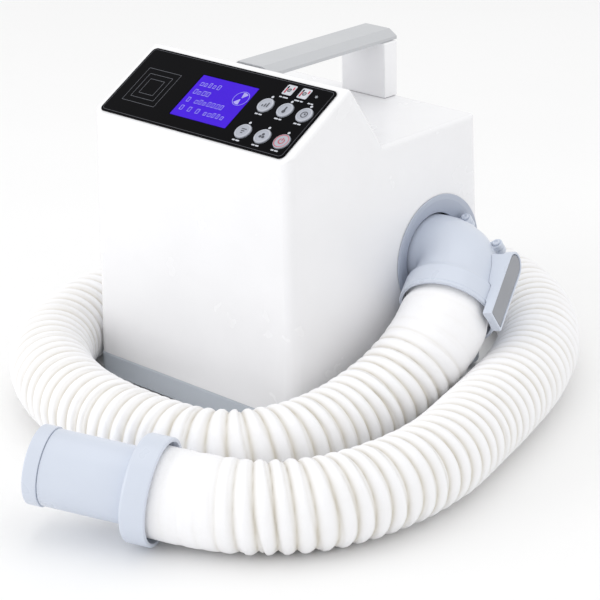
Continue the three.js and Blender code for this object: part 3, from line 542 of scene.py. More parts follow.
def rounded(points, radius, steps=5, closed=True):
    """An outline whose corners are arcs; radius is one number or one for each corner."""
    result = []
    last = len(points) - 1
    for i, here in enumerate(points):
        r = radius[i] if isinstance(radius, (list, tuple)) else radius
        before, after = points[i - 1] - here, points[(i + 1) % len(points)] - here
        half = before.angle(after) / 2
        if r == 0 or half > math.radians(89.5) or (not closed and i in (0, last)):
            result.append(here)
            continue
        centre = here + (before.normalized() + after.normalized()).normalized() * (r / math.sin(half))
        first = here + before.normalized() * (r / math.tan(half)) - centre
        end = here + after.normalized() * (r / math.tan(half)) - centre
        turn = math.atan2(first.x * end.y - first.y * end.x, first.dot(end))
        for k in range(steps + 1):
            a = turn * k / steps
            result.append(centre + Vector((first.x * math.cos(a) - first.y * math.sin(a),
                                           first.x * math.sin(a) + first.y * math.cos(a))))
    return result


def inset(points, amount):
    """Moves a closed anticlockwise outline inwards."""
    result = []
    for i, here in enumerate(points):
        u = (here - points[i - 1]).normalized()
        v = (points[(i + 1) % len(points)] - here).normalized()
        normal = Vector((-u.y - v.y, u.x + v.x))
        result.append(here + normal * (amount / (1 + u.dot(v))))
    return result


def rectangle(x, y, width, height, corner=0.0, steps=5):
    """A rectangle about (x, y), anticlockwise, with rounded corners."""
    w, h = width / 2, height / 2
    corners = [Vector((x - w, y - h)), Vector((x + w, y - h)), Vector((x + w, y + h)), Vector((x - w, y + h))]
    return rounded(corners, corner, steps) if corner else corners


def circle(x, y, radius, sides=40):
    """A circle about (x, y), anticlockwise."""
    return [Vector((x + radius * math.cos(2 * math.pi * i / sides),
                    y + radius * math.sin(2 * math.pi * i / sides))) for i in range(sides)]


def arc_band(x, y, radius, width, start, end, steps=24):
    """A band along an arc, from start to end in degrees, anticlockwise."""
    def points(r, turns):
        return [Vector((x + r * math.cos(math.radians(a)), y + r * math.sin(math.radians(a)))) for a in turns]

    turns = [start + (end - start) * k / steps for k in range(steps + 1)]
    return points(radius + width / 2, turns) + points(radius - width / 2, turns[::-1])


def plate(outer, holes, low, high, edge=0.0):
    """A flat plate with holes; its upper edges, the holes' too, are chamfered by edge."""
    loops = [outer, *holes]
    levels = [(low, 0.0), (high - edge, 0.0), (high, edge)] if edge else [(low, 0.0), (high, 0.0)]
    points, faces = [], []
    size = sum(len(loop) for loop in loops)
    for z, back in levels:
        for k, loop in enumerate(loops):
            points += [p.to_3d() + Vector((0, 0, z)) for p in inset(loop, back if k == 0 else -back)]
    flat = tessellate_polygon([[p.to_3d() for p in loop] for loop in loops])
    top = size * (len(levels) - 1)
    faces += [list(tri) for tri in flat] + [[top + i for i in tri] for tri in flat]
    for level in range(len(levels) - 1):
        start = level * size
        for loop in loops:
            n = len(loop)
            faces += [(start + j, start + (j + 1) % n, start + size + (j + 1) % n, start + size + j)
                      for j in range(n)]
            start += n
    return points, faces


def block(x0, x1, y0, y1, z0, z1):
    """A box between those limits."""
    return plate(rectangle((x0 + x1) / 2, (y0 + y1) / 2, x1 - x0, y1 - y0), [], z0, z1)


def softened(node, name, width, segments=3):
    """The CAD node's shape with its flat faces made whole and its edges rounded."""
    work = bmesh.new()
    work.from_mesh(NODES[node].data)
    bmesh.ops.remove_doubles(work, verts=work.verts, dist=0.000005)
    bmesh.ops.dissolve_limit(work, angle_limit=math.radians(1.0), verts=work.verts, edges=work.edges)
    work.verts.index_update()
    part = [v.co.copy() for v in work.verts], [[v.index for v in f.verts] for f in work.faces]
    work.free()
    return round_edges(make(name, [part]), width, segments)


# ---- hose ------------------------------------------------------------------------------------
def smooth_route(stops, step):
    """Points about step apart on a centripetal Catmull-Rom curve through the stops."""
    knots = [Vector(p) for p in stops]
    knots = [2 * knots[0] - knots[1], *knots, 2 * knots[-1] - knots[-2]]
    fine = []
    for a, b, c, d in zip(knots, knots[1:], knots[2:], knots[3:]):
        ta, tb, tc = ((q - p).length ** 0.5 for p, q in ((a, b), (b, c), (c, d)))
        leave = ((b - a) / ta - (c - a) / (ta + tb) + (c - b) / tb) * tb
        arrive = ((c - b) / tb - (d - b) / (tb + tc) + (d - c) / tc) * tb
        spans = max(4, round((c - b).length / (step / 3)))
        for k in range(spans):
            t = k / spans
            fine.append(b * (2 * t ** 3 - 3 * t ** 2 + 1) + leave * (t ** 3 - 2 * t ** 2 + t)
                        + c * (3 * t ** 2 - 2 * t ** 3) + arrive * (t ** 3 - t ** 2))
    fine.append(knots[-2])
    line = np.array(fine)
    run = np.concatenate([[0], np.cumsum(np.linalg.norm(np.diff(line, axis=0), axis=1))])
    even = np.linspace(0, run[-1], round(run[-1] / step) + 1)
    return np.stack([np.interp(even, run, line[:, axis]) for axis in range(3)], axis=1), even


def carried_normals(line):
    """Tangents and untwisted normals along a line of points."""
    tangents = np.gradient(line, axis=0)
    tangents /= np.linalg.norm(tangents, axis=1)[:, None]
    normals = np.zeros_like(line)
    normal = np.array((0.0, 0.0, 1.0))
    for i, tangent in enumerate(tangents):
        normal = normal - tangent * normal.dot(tangent)
        normal /= np.linalg.norm(normal)
        normals[i] = normal
    return tangents, normals


def wandering(rng, run, angle, waves, period):
    """A smooth seeded unevenness over the hose's length and round it, about -1 to 1."""
    total = np.zeros(np.broadcast(run, angle).shape)
    for _ in range(waves):
        pitch = period * rng.uniform(0.6, 1.6)
        total = total + np.sin(2 * np.pi * run / pitch + rng.choice((-2, -1, 0, 1, 2)) * angle
                               + rng.uniform(0, 2 * math.pi))
    return total / math.sqrt(waves)


class DRYER_OT_camera(bpy.types.Operator):
    """Places the camera in front of the panel's right-hand corner, looking slightly down"""
    bl_idname = "dryer.camera"
    bl_label = "Camera"

    def execute(self, context):
        settings = context.scene.dryer_stage
        data = bpy.data.cameras.new("camera")
        data.sensor_width = 36.0
        data.lens = settings.lens
        camera = bpy.data.objects.new("camera", data)
        camera.matrix_world = (Matrix.Translation(settings.camera_place)
                               @ Matrix.Rotation(settings.camera_azimuth, 4, "Z")
                               @ Matrix.Rotation(math.pi / 2 - settings.camera_drop, 4, "X")
                               @ Matrix.Rotation(settings.camera_roll, 4, "Z"))
        data.clip_start, data.clip_end = 0.05, 50.0
        context.scene.collection.objects.link(camera)
        context.scene.camera = camera
        return {"FINISHED"}


class DRYER_OT_hose(bpy.types.Operator):
    """Builds the wire-wound cloth hose along its route on the table"""
    bl_idname = "dryer.hose"
    bl_label = "Hose"

    def execute(self, context):
        settings = context.scene.dryer_hose
        rng = random.Random(settings.seed)
        sides = 72
        line, run = smooth_route(HOSE_ROUTE, settings.pitch / 12)
        tangents, normals = carried_normals(line)
        across = np.cross(tangents, normals)
        bend = np.gradient(tangents, axis=0) / np.gradient(run)[:, None]
        angle = np.linspace(0, 2 * np.pi, sides, endpoint=False)[None, :]
        length = run[:, None]
        outward = (normals[:, None, :] * np.cos(angle)[..., None]
                   + across[:, None, :] * np.sin(angle)[..., None])
        # how far the cloth is pulled out (above 0) or pushed together (below 0) by the bend
        pull = np.clip(-np.einsum("ij,ikj->ik", bend, outward) * HOSE_RADIUS * 2.2, -1, 1)

        turn = (length / settings.pitch - angle / (2 * np.pi)) % 1.0
        crest = np.sin(np.pi / 2 * np.abs(2 * turn - 1))
        sharpness = 0.8 + 0.38 * pull
        uneven = wandering(rng, length, angle, 5, settings.pitch * 5)
        depth = settings.fold_depth * (1 - 0.12 * pull) * (1 + 0.14 * uneven)
        ends = np.minimum(length - HOSE_INSET, run[-1] - HOSE_INSET - length)
        settled = np.clip((ends - 0.028) / 0.045, 0, 1)
        settled = 0.06 + 0.94 * settled * settled * (3 - 2 * settled)
        fold = (1 - crest ** sharpness) * settled

        # the cloth's slanting creases, from one wire turn down to the next
        slant = 0.5 + 0.3 * np.cos(angle + 0.8 * wandering(rng, length, 0 * angle, 3, settings.pitch * 3))
        crease = (np.exp(-((turn - slant) / 0.07) ** 2)
                  * (0.65 + 0.35 * wandering(rng, length, angle, 4, 0.05)))
        ripple = wandering(rng, length, angle, 6, 0.016)
        low = depth * fold + settings.crease_depth * crease * settled + 0.00026 * ripple
        # the hose bulges where it leaves the elbow's collar
        past = np.clip(length - HOSE_INSET, 0, None)
        bulge = settings.bulge * np.clip(past / 0.006, 0, 1) * np.exp(-past / 0.045)
        radius = HOSE_RADIUS - 0.0001 + bulge - np.clip(low, 0, None)

        outer = line[:, None, :] + outward * radius[..., None]
        inner_steps = np.linspace(0, len(line) - 1, len(line) // 10).round().astype(int)
        inner = line[inner_steps][:, None, :] + outward[inner_steps] * (HOSE_RADIUS - 0.0045)
        rings = np.concatenate([outer, inner[::-1]])
        hose = self.tube(rings, sides)
        # painted shade: how much the folds and creases darken the cloth's colour, kept in the fold attribute
        shade = np.clip(0.25 * (1 - crest) + 0.75 * (1 - crest) ** 3 + 0.3 * crease, 0, 1) * settled
        shades = np.concatenate([shade, np.zeros(inner.shape[:2])])
        hose.data.attributes.new("fold", "FLOAT", "POINT").data.foreach_set("value", shades.ravel())
        weave = np.zeros((len(rings), sides, 3))
        weave[:len(line), :, 0] = length
        weave[:len(line), :, 1] = angle * HOSE_RADIUS
        hose.data.attributes.new("weave", "FLOAT_VECTOR", "POINT").data.foreach_set("vector", weave.ravel())
        hose.data.materials.append(finish("pvc_coated_polyester"))
        hose.data.shade_smooth()
        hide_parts("hose")
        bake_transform(hose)
        path_step = 6
        context.scene["hose_line"] = [float(v) for v in line[::path_step].ravel()]
        context.scene["hose_run"] = float(run[-1])
        return {"FINISHED"}

    @staticmethod
    def tube(rings, sides):
        """A closed skin through all rings, the last joined to the first."""
        count = len(rings)
        index = np.arange(count * sides).reshape(count, sides)
        nearer, further = index, np.roll(index, -1, axis=0)
        quads = np.stack([nearer, np.roll(nearer, -1, axis=1), np.roll(further, -1, axis=1), further],
                         axis=-1)
        mesh = bpy.data.meshes.new("hose_corrugated")
        mesh.from_pydata(rings.reshape(-1, 3).tolist(), [], quads.reshape(-1, 4).tolist())
        work = bmesh.new()
        work.from_mesh(mesh)
        bmesh.ops.recalc_face_normals(work, faces=work.faces)
        work.to_mesh(mesh)
        work.free()
        hose = bpy.data.objects.new("hose_corrugated", mesh)
        bpy.context.scene.collection.objects.link(hose)
        return hose


class DRYER_OT_nozzle(bpy.types.Operator):
    bl_idname = "dryer.nozzle"
    bl_label = "Nozzle and cuffs"

    def execute(self, context):
        collar, reach, radius, bore = (NOZZLE[key] for key in ("collar", "reach", "radius", "bore"))
        seat = reach - 2.7
        sleeve = [(36.4, 0), (collar, 0), (collar, reach), (radius + 0.3, reach), (radius + 0.3, seat),
                  (36.4, seat)]
        section = rounded(metres(sleeve), [0.0006, 0.0011, 0.003, 0.0004, 0, 0])
        nozzle_collar = make("nozzle_collar_ring", [lathe(section, 96, looped=True)], NOZZLE_PLACE)
        dress(nozzle_collar, "abs_moulded_pale_blue", "housing", ["nozzle_collar"])

        tip_start = reach + NOZZLE["length"] - 11
        tube = [(bore, reach - 4.6), (35.5, reach - 4.6), (35.5, reach - 3), (radius, reach - 3),
                (radius, tip_start - 0.3), (radius - 1.2, tip_start - 0.3), (radius - 1.2, tip_start + 9),
                (bore, tip_start + 9)]
        section = rounded(metres(tube), [0, 0.0005, 0.0005, 0.0012, 0.0004, 0, 0.0003, 0.0003])
        nozzle_tube = make("nozzle_pipe", [lathe(section, 96, looped=True)], NOZZLE_PLACE)
        dress(nozzle_tube, "abs_moulded_pale_blue", "housing", ["nozzle_tube"])

        tip_end = tip_start + 11
        tip = [(radius - 0.9, tip_start), (NOZZLE["tip"], tip_start), (NOZZLE["tip"], tip_end),
               (bore, tip_end), (bore, tip_start + 9.3), (radius - 0.9, tip_start + 9.3)]
        section = rounded(metres(tip), [0, 0.0006, 0.0013, 0.0009, 0.0003, 0])
        nozzle_tip = make("nozzle_tip", [lathe(section, 96, looped=True)], NOZZLE_PLACE)
        dress(nozzle_tip, "abs_moulded_pale_blue", "housing", ["nozzle_tip_ring"])

        side = Vector((math.cos(1.2), math.sin(1.2), 0))
        spot = side * (radius + 0.3) * MM + Vector((0, 0, (reach + 4) * MM))
        stand = (NOZZLE_PLACE @ Matrix.Translation(spot)
                 @ Vector((0, 0, 1)).rotation_difference(side).to_matrix().to_4x4())
        peg = rounded(metres([(2.6, 0), (2.6, 5), (1.0, 5), (0.8, 4.2)]), [0, 0.0007, 0.0003, 0],
                      closed=False)
        nozzle_peg = make("nozzle_peg", [lathe(peg, 32)], stand)
        dress(nozzle_peg, "steel_zinc_plated", "housing", ["nozzle_screw"])

        for name, node, place, end, body in (
            ("cuff_at_nozzle", "hose_cuff_nozzle", NOZZLE_PLACE, reach - 5, "housing"),
            ("cuff_at_elbow", "hose_cuff_elbow", MOUTH_PLACE, 16.5, "elbow"),
        ):
            wall = rounded(metres([(36.1, 8.3), (36.1, end), (31, end), (31, 8.3)]), 0.0006)
            cuff = make(name, [lathe(wall, 72, looped=True)], place)
            dress(cuff, "pvc_dipped_cuff", body, [node])

        return {"FINISHED"}


# ---- housing ---------------------------------------------------------------------------------
def side_profile(bottom):
    """The housing's (y, z) outline, anticlockwise seen from +X."""
    back = -FRONT
    return [Vector((FRONT + bottom * DRAFT, bottom)), Vector((back - bottom * DRAFT, bottom)),
            Vector((back - DECK_HEIGHT * DRAFT, DECK_HEIGHT)), Vector((VALLEY.y, VALLEY.z)),
            Vector((RIDGE.y, RIDGE.z)), Vector((PANEL_FOOT.y, PANEL_FOOT.z))]


def skin_of_housing(corner, edge):
    """The housing's outer skin without its underside, its edges weighted for rounding."""
    outline = side_profile(SHELL_BOTTOM)
    count = len(outline)
    points = [Vector((sign * (WIDTH / 2 - p.y * DRAFT), p.x, p.y)) for sign in (-1, 1) for p in outline]
    faces = [list(range(count)), [count + i for i in range(count)]]
    faces += [(i, i + 1, count + i + 1, count + i) for i in range(1, count - 1)]
    faces.append((count - 1, 0, count, 2 * count - 1))
    piece = make("housing_cover", [(points, faces)])
    work = bmesh.new()
    work.from_mesh(piece.data)
    weight = work.edges.layers.float.new("bevel_weight_edge")
    for e in work.edges:
        a, b = (v.co for v in e.verts)
        if e.is_boundary:
            continue
        upright = abs(a.z - b.z) > 0.1
        e[weight] = 1.0 if upright else edge / corner
    work.to_mesh(piece.data)
    work.free()
    return round_edges(piece, corner, 6, weighted=True)


def panel_cutters():
    """The openings that the panel's display, keys and lamps need in the cover."""
    x, s = DISPLAY["x"], DISPLAY["s"]
    w, h = DISPLAY["width"] / 2 - 0.0013, DISPLAY["height"] / 2 - 0.0013
    holes = [block(x - w, x + w, s - h, s + h, -0.008, 0.003)]
    for row in KEY_ROWS:
        for column in KEY_COLUMNS:
            key = lathe([(0.0089, -0.008), (0.0089, 0.003)], 32)
            holes.append(moved(key, Matrix.Translation((column, row, 0))))
    for column in LAMP_COLUMNS:
        lamp = lathe([(0.0016, -0.008), (0.0016, 0.003)], 16)
        holes.append(moved(lamp, Matrix.Translation((column, LAMP_ROW, 0))))
    return [moved(hole, PANEL_PLACE) for hole in holes]


class DRYER_OT_housing(bpy.types.Operator):
    """Builds the white cover with its openings"""
    bl_idname = "dryer.housing"
    bl_label = "Housing cover"

    def execute(self, context):
        settings = context.scene.dryer_housing
        cover = skin_of_housing(settings.corner, settings.edge)
        thick = cover.modifiers.new("wall", "SOLIDIFY")
        thick.thickness = WALL
        thick.offset = -1
        thick.use_even_offset = True
        settle(cover)
        hole = lathe([(0.0469, -0.012), (0.0469, 0.012)], 96)
        grille, inlet = NODES["filter_grille"], NODES["power_inlet"]
        cuts = [moved(hole, OUTLET_PLACE @ ALONG_X)]
        for node, side_margin in ((grille, 0.006), (inlet, 0.003)):
            low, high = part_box(node.name)
            cuts.append(block(low.x + side_margin, high.x - side_margin, 0.1, 0.12,
                              low.z + side_margin, high.z - side_margin))
        cut_away(cover, make("housing_openings", cuts + panel_cutters()))
        boss = make("ridge_boss", [block(-0.024, 0.024, RIDGE.y + 0.002, RIDGE.y + 0.017, 0.235, 0.2641)])
        round_edges(boss, 0.0012)
        join_onto(cover, boss)
        dress(cover, "abs_moulded_gloss_white", "housing", ["upper_shell"], crease=28)
        return {"FINISHED"}


def join_onto(piece, extra):
    """Adds the extra object's closed mesh to the piece as part of the same moulding."""
    work = bmesh.new()
    work.from_mesh(piece.data)
    work.from_mesh(extra.data)
    work.to_mesh(piece.data)
    work.free()
    bpy.data.objects.remove(extra)


class DRYER_OT_base(bpy.types.Operator):
    """Builds the grey base tray, its four feet and the cover screws"""
    bl_idname = "dryer.base"
    bl_label = "Base tray and feet"

    def execute(self, context):
        top = SHELL_BOTTOM - GAP
        levels = [(FOOT_HEIGHT, 0.003), (FOOT_HEIGHT + 0.0009, 0.0009), (FOOT_HEIGHT + 0.003, 0),
                  (top - 0.0008, 0),
                  (top, 0.0008), (top, WALL), (FOOT_HEIGHT + WALL, WALL)]
        rings = [[p.to_3d() + Vector((0, 0, z)) for p in
                  rectangle(0, 0, WIDTH - 2 * back, DEPTH - 2 * back, CORNER - min(back, WALL), 7)]
                 for z, back in levels]
        tray = make("base_tray_moulding", [loft(rings)])
        dress(tray, "abs_moulded_satin_tray", "housing", ["base_tray"])
        foot_section = rounded(metres([(8.5, 0), (9.5, 1), (9.5, 3.7)]), 0.0004, closed=False)
        for index in range(1, 5):
            node = f"foot_{index}"
            low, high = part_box(node)
            foot = make(f"rubber_{node}", [lathe(foot_section, 48)],
                        Matrix.Translation(((low.x + high.x) / 2, (low.y + high.y) / 2, 0)))
            dress(foot, "rubber_moulded_black", "housing", [node])
            self.screw(f"base_screw_{index}")
        return {"FINISHED"}

    @staticmethod
    def screw(node):
        """A pan-head screw with a crossed recess, seen from below."""
        low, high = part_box(node)
        middle = Matrix.Translation(((low.x + high.x) / 2, (low.y + high.y) / 2, 0))
        section = rounded(metres([(3.4, 1.6), (3.8, 2.4), (3.8, 3.7), (2.05, 3.7), (1.6, 25.5), (1.6, 40),
                                  (0.3, 41.5)]),
                          [0.0004, 0.0003, 0.0003, 0, 0, 0, 0], closed=False)
        screw = make(f"{node}_pan_head", [lathe(section, 32)], middle)
        arms = [block(-0.002, 0.002, -0.0005, 0.0005, 0, 0.0028),
                block(-0.0005, 0.0005, -0.002, 0.002, 0, 0.0027)]
        for arm in arms:
            cut_away(screw, make("recess", [arm], middle))
        dress(screw, "steel_zinc_plated", "housing", [node])


class DRYER_OT_handle(bpy.types.Operator):
    """Builds the carrying handle's grip bar and rear post"""
    bl_idname = "dryer.handle"
    bl_label = "Carrying handle"

    def execute(self, context):
        settings = context.scene.dryer_housing
        grip = softened("handle_grip", "handle_grip_bar", settings.grip_edge, 4)
        dress(grip, "abs_moulded_satin_grip", "housing", ["handle_grip"])
        post = softened("handle_post", "handle_post_block", settings.edge, 5)
        dress(post, "abs_moulded_gloss_white", "housing", ["handle_post"])
        return {"FINISHED"}


# ---- control panel ---------------------------------------------------------------------------
def printed(name, shapes, height, material, body="housing", place=PANEL_PLACE):
    """Flat printed shapes, each an outline and its holes, a film's thickness proud of height."""
    film = 0.00006
    parts = [plate(outer, holes, height, height + film) for outer, holes in shapes]
    return dress(make(name, parts, place), material, body)


def dashes(rng, x, s, width, height, words):
    """A row of small bars that stands for a printed caption."""
    shapes, at = [], x - width / 2
    shares = [rng.uniform(0.6, 1.4) for _ in range(words)]
    gap = width * 0.09
    unit = (width - gap * (words - 1)) / sum(shares)
    for share in shares:
        shapes.append((rectangle(at + share * unit / 2, s, share * unit, height, height * 0.3, 3), []))
        at += share * unit + gap
    return shapes


def key_symbols():
    """One plain drawing for each key, about the key's middle."""
    def bar(x, y, w, h):
        return rectangle(x, y, w, h, min(w, h) * 0.35, 3), []

    mm = MM
    rising = [bar(-1.9 * mm, -0.9 * mm, 0.9 * mm, 1.6 * mm), bar(0, -0.3 * mm, 0.9 * mm, 2.8 * mm),
              bar(1.9 * mm, 0.3 * mm, 0.9 * mm, 4 * mm)]
    stem = [bar(0, 0.9 * mm, 1.1 * mm, 3.4 * mm), (circle(0, -1.5 * mm, 1.3 * mm, 24), [])]
    dial = [(circle(0, 0, 2.5 * mm, 32), [circle(0, 0, 1.9 * mm, 32)]), bar(0, 0.6 * mm, 0.6 * mm, 1.6 * mm),
            bar(0.6 * mm, 0, 1.4 * mm, 0.6 * mm)]
    steps = [bar(0, 1.6 * mm, 4.2 * mm, 0.7 * mm), bar(0, 0, 3 * mm, 0.7 * mm),
             bar(0, -1.6 * mm, 1.8 * mm, 0.7 * mm)]
    blades = [(circle(1.35 * mm * math.cos(math.radians(a)), 1.35 * mm * math.sin(math.radians(a)),
                      1.0 * mm, 20), [])
              for a in (90, 210, 330)]
    power = [(arc_band(0, 0, 2.0 * mm, 0.6 * mm, 125, 415), []), bar(0, 1.5 * mm, 0.6 * mm, 2.4 * mm)]
    return [rising, stem, dial, steps, blades, power]


class DRYER_OT_panel(bpy.types.Operator):
    """Builds the black panel film, its print, a painted highlight along the film's edge, the lit display and
    the light guides
    """
    bl_idname = "dryer.panel"
    bl_label = "Control panel"

    def execute(self, context):
        rng = random.Random(11)
        middle = (PANEL_HIGH + PANEL_LOW) / 2
        tall, wide = PANEL_HIGH - PANEL_LOW, 2 * PANEL_HALF
        x, s, w, h = (DISPLAY[key] for key in ("x", "s", "width", "height"))
        holes = [rectangle(x, s, w, h, 0.0008, 3)]
        holes += [circle(column, row, KEY_RADIUS + 0.0004, 48) for row in KEY_ROWS for column in KEY_COLUMNS]
        holes += [circle(column, LAMP_ROW, 0.0016, 20) for column in LAMP_COLUMNS]
        film = make("panel_film", [plate(rectangle(0, middle, wide, tall, 0.0045, 8), holes,
                                         GAP, OVERLAY_FACE,
                                         edge=0.00025)], PANEL_PLACE)
        dress(film, "pc_film_printed_black", "housing", ["panel_overlay"], crease=20)

        # painted highlight: a thin grey line 1.7 mm inside the film's edge, printed in the grey ink with the
        # sounder's squares, stands for the light along the film's edge
        def painted_edge_highlight(back, line):
            return (rectangle(0, middle, wide - 2 * back, tall - 2 * back, 0.0035, 8),
                    [rectangle(0, middle, wide - 2 * (back + line), tall - 2 * (back + line), 0.0031, 8)])

        grey_print_and_edge_highlight, white = [painted_edge_highlight(0.0017, 0.00032)], []
        for share in (1.0, 0.71, 0.44):
            side, line = SOUNDER["size"] * share, 0.0004
            grey_print_and_edge_highlight.append((rectangle(SOUNDER["x"], SOUNDER["s"], side, side, 0.0005, 3),
                        [rectangle(SOUNDER["x"], SOUNDER["s"], side - 2 * line, side - 2 * line, 0.0003, 3)]))
        for row in KEY_ROWS:
            for column in KEY_COLUMNS:
                white += dashes(rng, column, row - 0.0095, 0.0072, 0.0013, 2)
                white.append((circle(column, row + 0.0093, 0.0012, 20), []))
        for column, label in zip(LAMP_COLUMNS, (0.0088, 0.0088, 0.0055)):
            white += dashes(rng, column, LAMP_ROW - 0.0078, label, 0.0012, 2)
        printed("panel_print_and_edge_highlight_grey", grey_print_and_edge_highlight, OVERLAY_FACE, "ink_screened_grey")
        printed("panel_print_white", white, OVERLAY_FACE, "ink_screened_white")
        self.gauges()
        self.display(rng)
        guides = softened("light_pipe", "light_guides", 0.0002, 2)
        dress(guides, "acrylic_clear", "housing", ["light_pipe"])
        return {"FINISHED"}

    @staticmethod
    def gauges():
        """The two warning fields at the top right: pale frames with a red level mark each."""
        fields, marks = [], []
        for column in LAMP_COLUMNS[:2]:
            s = LAMP_ROW + 0.0002
            frame_outline = rectangle(column, s, 0.0098, 0.0104, 0.0012, 4)
            fields.append((frame_outline, [circle(column, LAMP_ROW, 0.0019, 20),
                                           rectangle(column - 0.003, s, 0.0016, 0.0076, 0.0006, 3)]))
            marks.append((rectangle(column - 0.003, s - 0.0011, 0.0012, 0.005, 0.0005, 3), []))
            marks.append((rectangle(column + 0.0031, s + 0.002, 0.0014, 0.0032, 0.0005, 3), []))
        printed("panel_gauge_fields", fields, OVERLAY_FACE, "ink_screened_white")
        printed("panel_gauge_marks", marks, OVERLAY_FACE + 0.00007, "ink_screened_red")

    @staticmethod
    def display(rng):
        """The lit window and its rows of segments, with a round fan symbol at the upper right."""
        x, s, w, h = (DISPLAY[key] for key in ("x", "s", "width", "height"))
        face = OVERLAY_FACE - 0.0002
        window = make("display_glass", [plate(rectangle(x, s, w - 0.0006, h - 0.0006, 0.0007, 3), [],
                                              GAP, face, edge=0.0002)], PANEL_PLACE)
        dress(window, "lcd_backlit_blue", "housing", ["display_window"])
        shapes = []
        left = x - w / 2 + 0.005
        for rise, lengths in ((0.0135, 5), (0.0045, 4), (-0.0045, 8), (-0.0135, 8)):
            at = left
            for _ in range(lengths):
                cell = 0.0046
                tall = rng.choice((0.0048, 0.0048, 0.0036))
                wide = cell * rng.uniform(0.5, 0.72)
                base = s + rise - 0.0024
                stroke = 0.0004
                outer = rectangle(at + wide / 2, base + tall / 2, wide, tall)
                inner = rectangle(at + wide / 2, base + tall / 2, wide - 2 * stroke, tall - 2 * stroke)
                shapes.append((outer, [inner]))
                at += cell * (1.9 if rng.random() < 0.2 else 1.0)
        fan_x, fan_s = x + w / 2 - 0.0088, s + 0.0085
        shapes.append((circle(fan_x, fan_s, 0.0074, 48), [circle(fan_x, fan_s, 0.007, 48)]))
        for a in (75, 255):
            shapes.append((arc_band(fan_x, fan_s, 0.0035, 0.0056, a - 28, a + 28, 10), []))
        printed("display_segments", shapes, face, "ink_lcd_segments")


class DRYER_OT_keys(bpy.types.Operator):
    """Builds the six round keys, each with its plain symbol"""
    bl_idname = "dryer.keys"
    bl_label = "Keys"

    def execute(self, context):
        section = rounded(metres([(8.3, -1), (8.3, 0), (7.15, 0), (7.15, 2.2), (6.3, 2.2), (5.6, 2.0),
                                  (1.0, 1.9)]),
                          [0.0003, 0.0003, 0.0002, 0.00055, 0.0003, 0.0004, 0], closed=False)
        stem = metres([(2.4, -4.6), (2.4, -1.2)])
        symbols = key_symbols()
        places = [(column, row) for row in KEY_ROWS for column in KEY_COLUMNS]
        for index, ((column, row), symbol) in enumerate(zip(places, symbols), 1):
            place = PANEL_PLACE @ Matrix.Translation((column, row, 0))
            name, body = f"key_{index}", f"key_{index}"
            cap = make(f"{name}_cap", [lathe(section, 56), lathe(stem, 24)], place)
            dress(cap, "abs_painted_silver_key", body, [name])
            red = index == len(places)
            material = "ink_screened_red" if red else "ink_screened_dark"
            scaled = [([p * 1.25 for p in outer], [[p * 1.25 for p in hole] for hole in holes])
                      for outer, holes in symbol]
            printed(f"{name}_symbol", scaled, 0.00205, material, body, place)
            rim_ink = "ink_screened_red" if red else "ink_screened_pale"
            rim = [(circle(0, 0, 0.0064, 48), [circle(0, 0, 0.0058, 48)])]
            printed(f"{name}_rim", rim, 0.00218, rim_ink, body, place)
        return {"FINISHED"}


# ---- outlet ring, elbow and latch ------------------------------------------------------------
def elbow_stations():
    """(place of the section, outer radius, inner radius) along the elbow, from its neck to its mouth."""
    bend_run = BEND_RADIUS * BEND
    total = NECK_OUT + bend_run + COLLAR_RUN
    body = [(0.0, 0.0382, 0.0364), (0.0007, 0.0388, 0.0364), (0.0024, 0.0388, 0.0364),
            (0.0029, 0.0385, 0.0364), (0.0034, 0.0388, 0.0364), (0.0168, 0.0388, 0.0364),
            (0.0182, 0.0385, 0.0364), (0.0192, 0.0378, 0.03), (0.0203, 0.0368, 0.0295),
            (0.0228, 0.0358, 0.0295), (0.027, 0.035, 0.0295), (0.033, 0.0344, 0.0295),
            (0.040, 0.0339, 0.0295), (0.047, 0.0334, 0.0295), (0.054, 0.0329, 0.0295),
            (0.061, 0.0325, 0.0295),
            (0.067, 0.0322, 0.0295), (total - 0.004, 0.032, 0.0295), (total, 0.0319, 0.0295),
            (total + 0.004, 0.0318, 0.0295), (total + 0.014, 0.0318, 0.0295)]
    stations = []
    for back, outer, inner in reversed(body):
        run = total - back
        turned = min(max(run - NECK_OUT, 0), bend_run) / BEND_RADIUS
        centre = Vector((min(run, NECK_OUT) + BEND_RADIUS * math.sin(turned), 0,
                         BEND_RADIUS * (math.cos(turned) - 1)))
        tangent = Vector((math.cos(turned), 0, -math.sin(turned)))
        outside = Vector((math.sin(turned), 0, math.cos(turned)))
        centre += tangent * max(0, run - NECK_OUT - bend_run)
        stations.append((centre, outside, outer, inner))
    return stations


def half_elbow(side):
    """The half of the elbow's wall on that side of its joint plane, its joint edges chamfered."""
    steps, chamfer = 40, 0.00045
    across = Vector((0, side, 0))
    rings = []
    for centre, outside, outer, inner in elbow_stations():
        first = math.asin(GAP / 2 / outer)
        ring = []
        turns = np.linspace(first + chamfer / outer, math.pi - first - chamfer / outer, steps)
        for angle, radius in [(first, outer - chamfer), *((a, outer) for a in turns),
                              (math.pi - first, outer - chamfer)]:
            ring.append(centre + outside * radius * math.cos(angle) + across * radius * math.sin(angle))
        first = math.asin(GAP / 2 / inner)
        for angle in np.linspace(math.pi - first, first, steps // 2):
            ring.append(centre + outside * inner * math.cos(angle) + across * inner * math.sin(angle))
        rings.append(ring)
    return loft(rings)


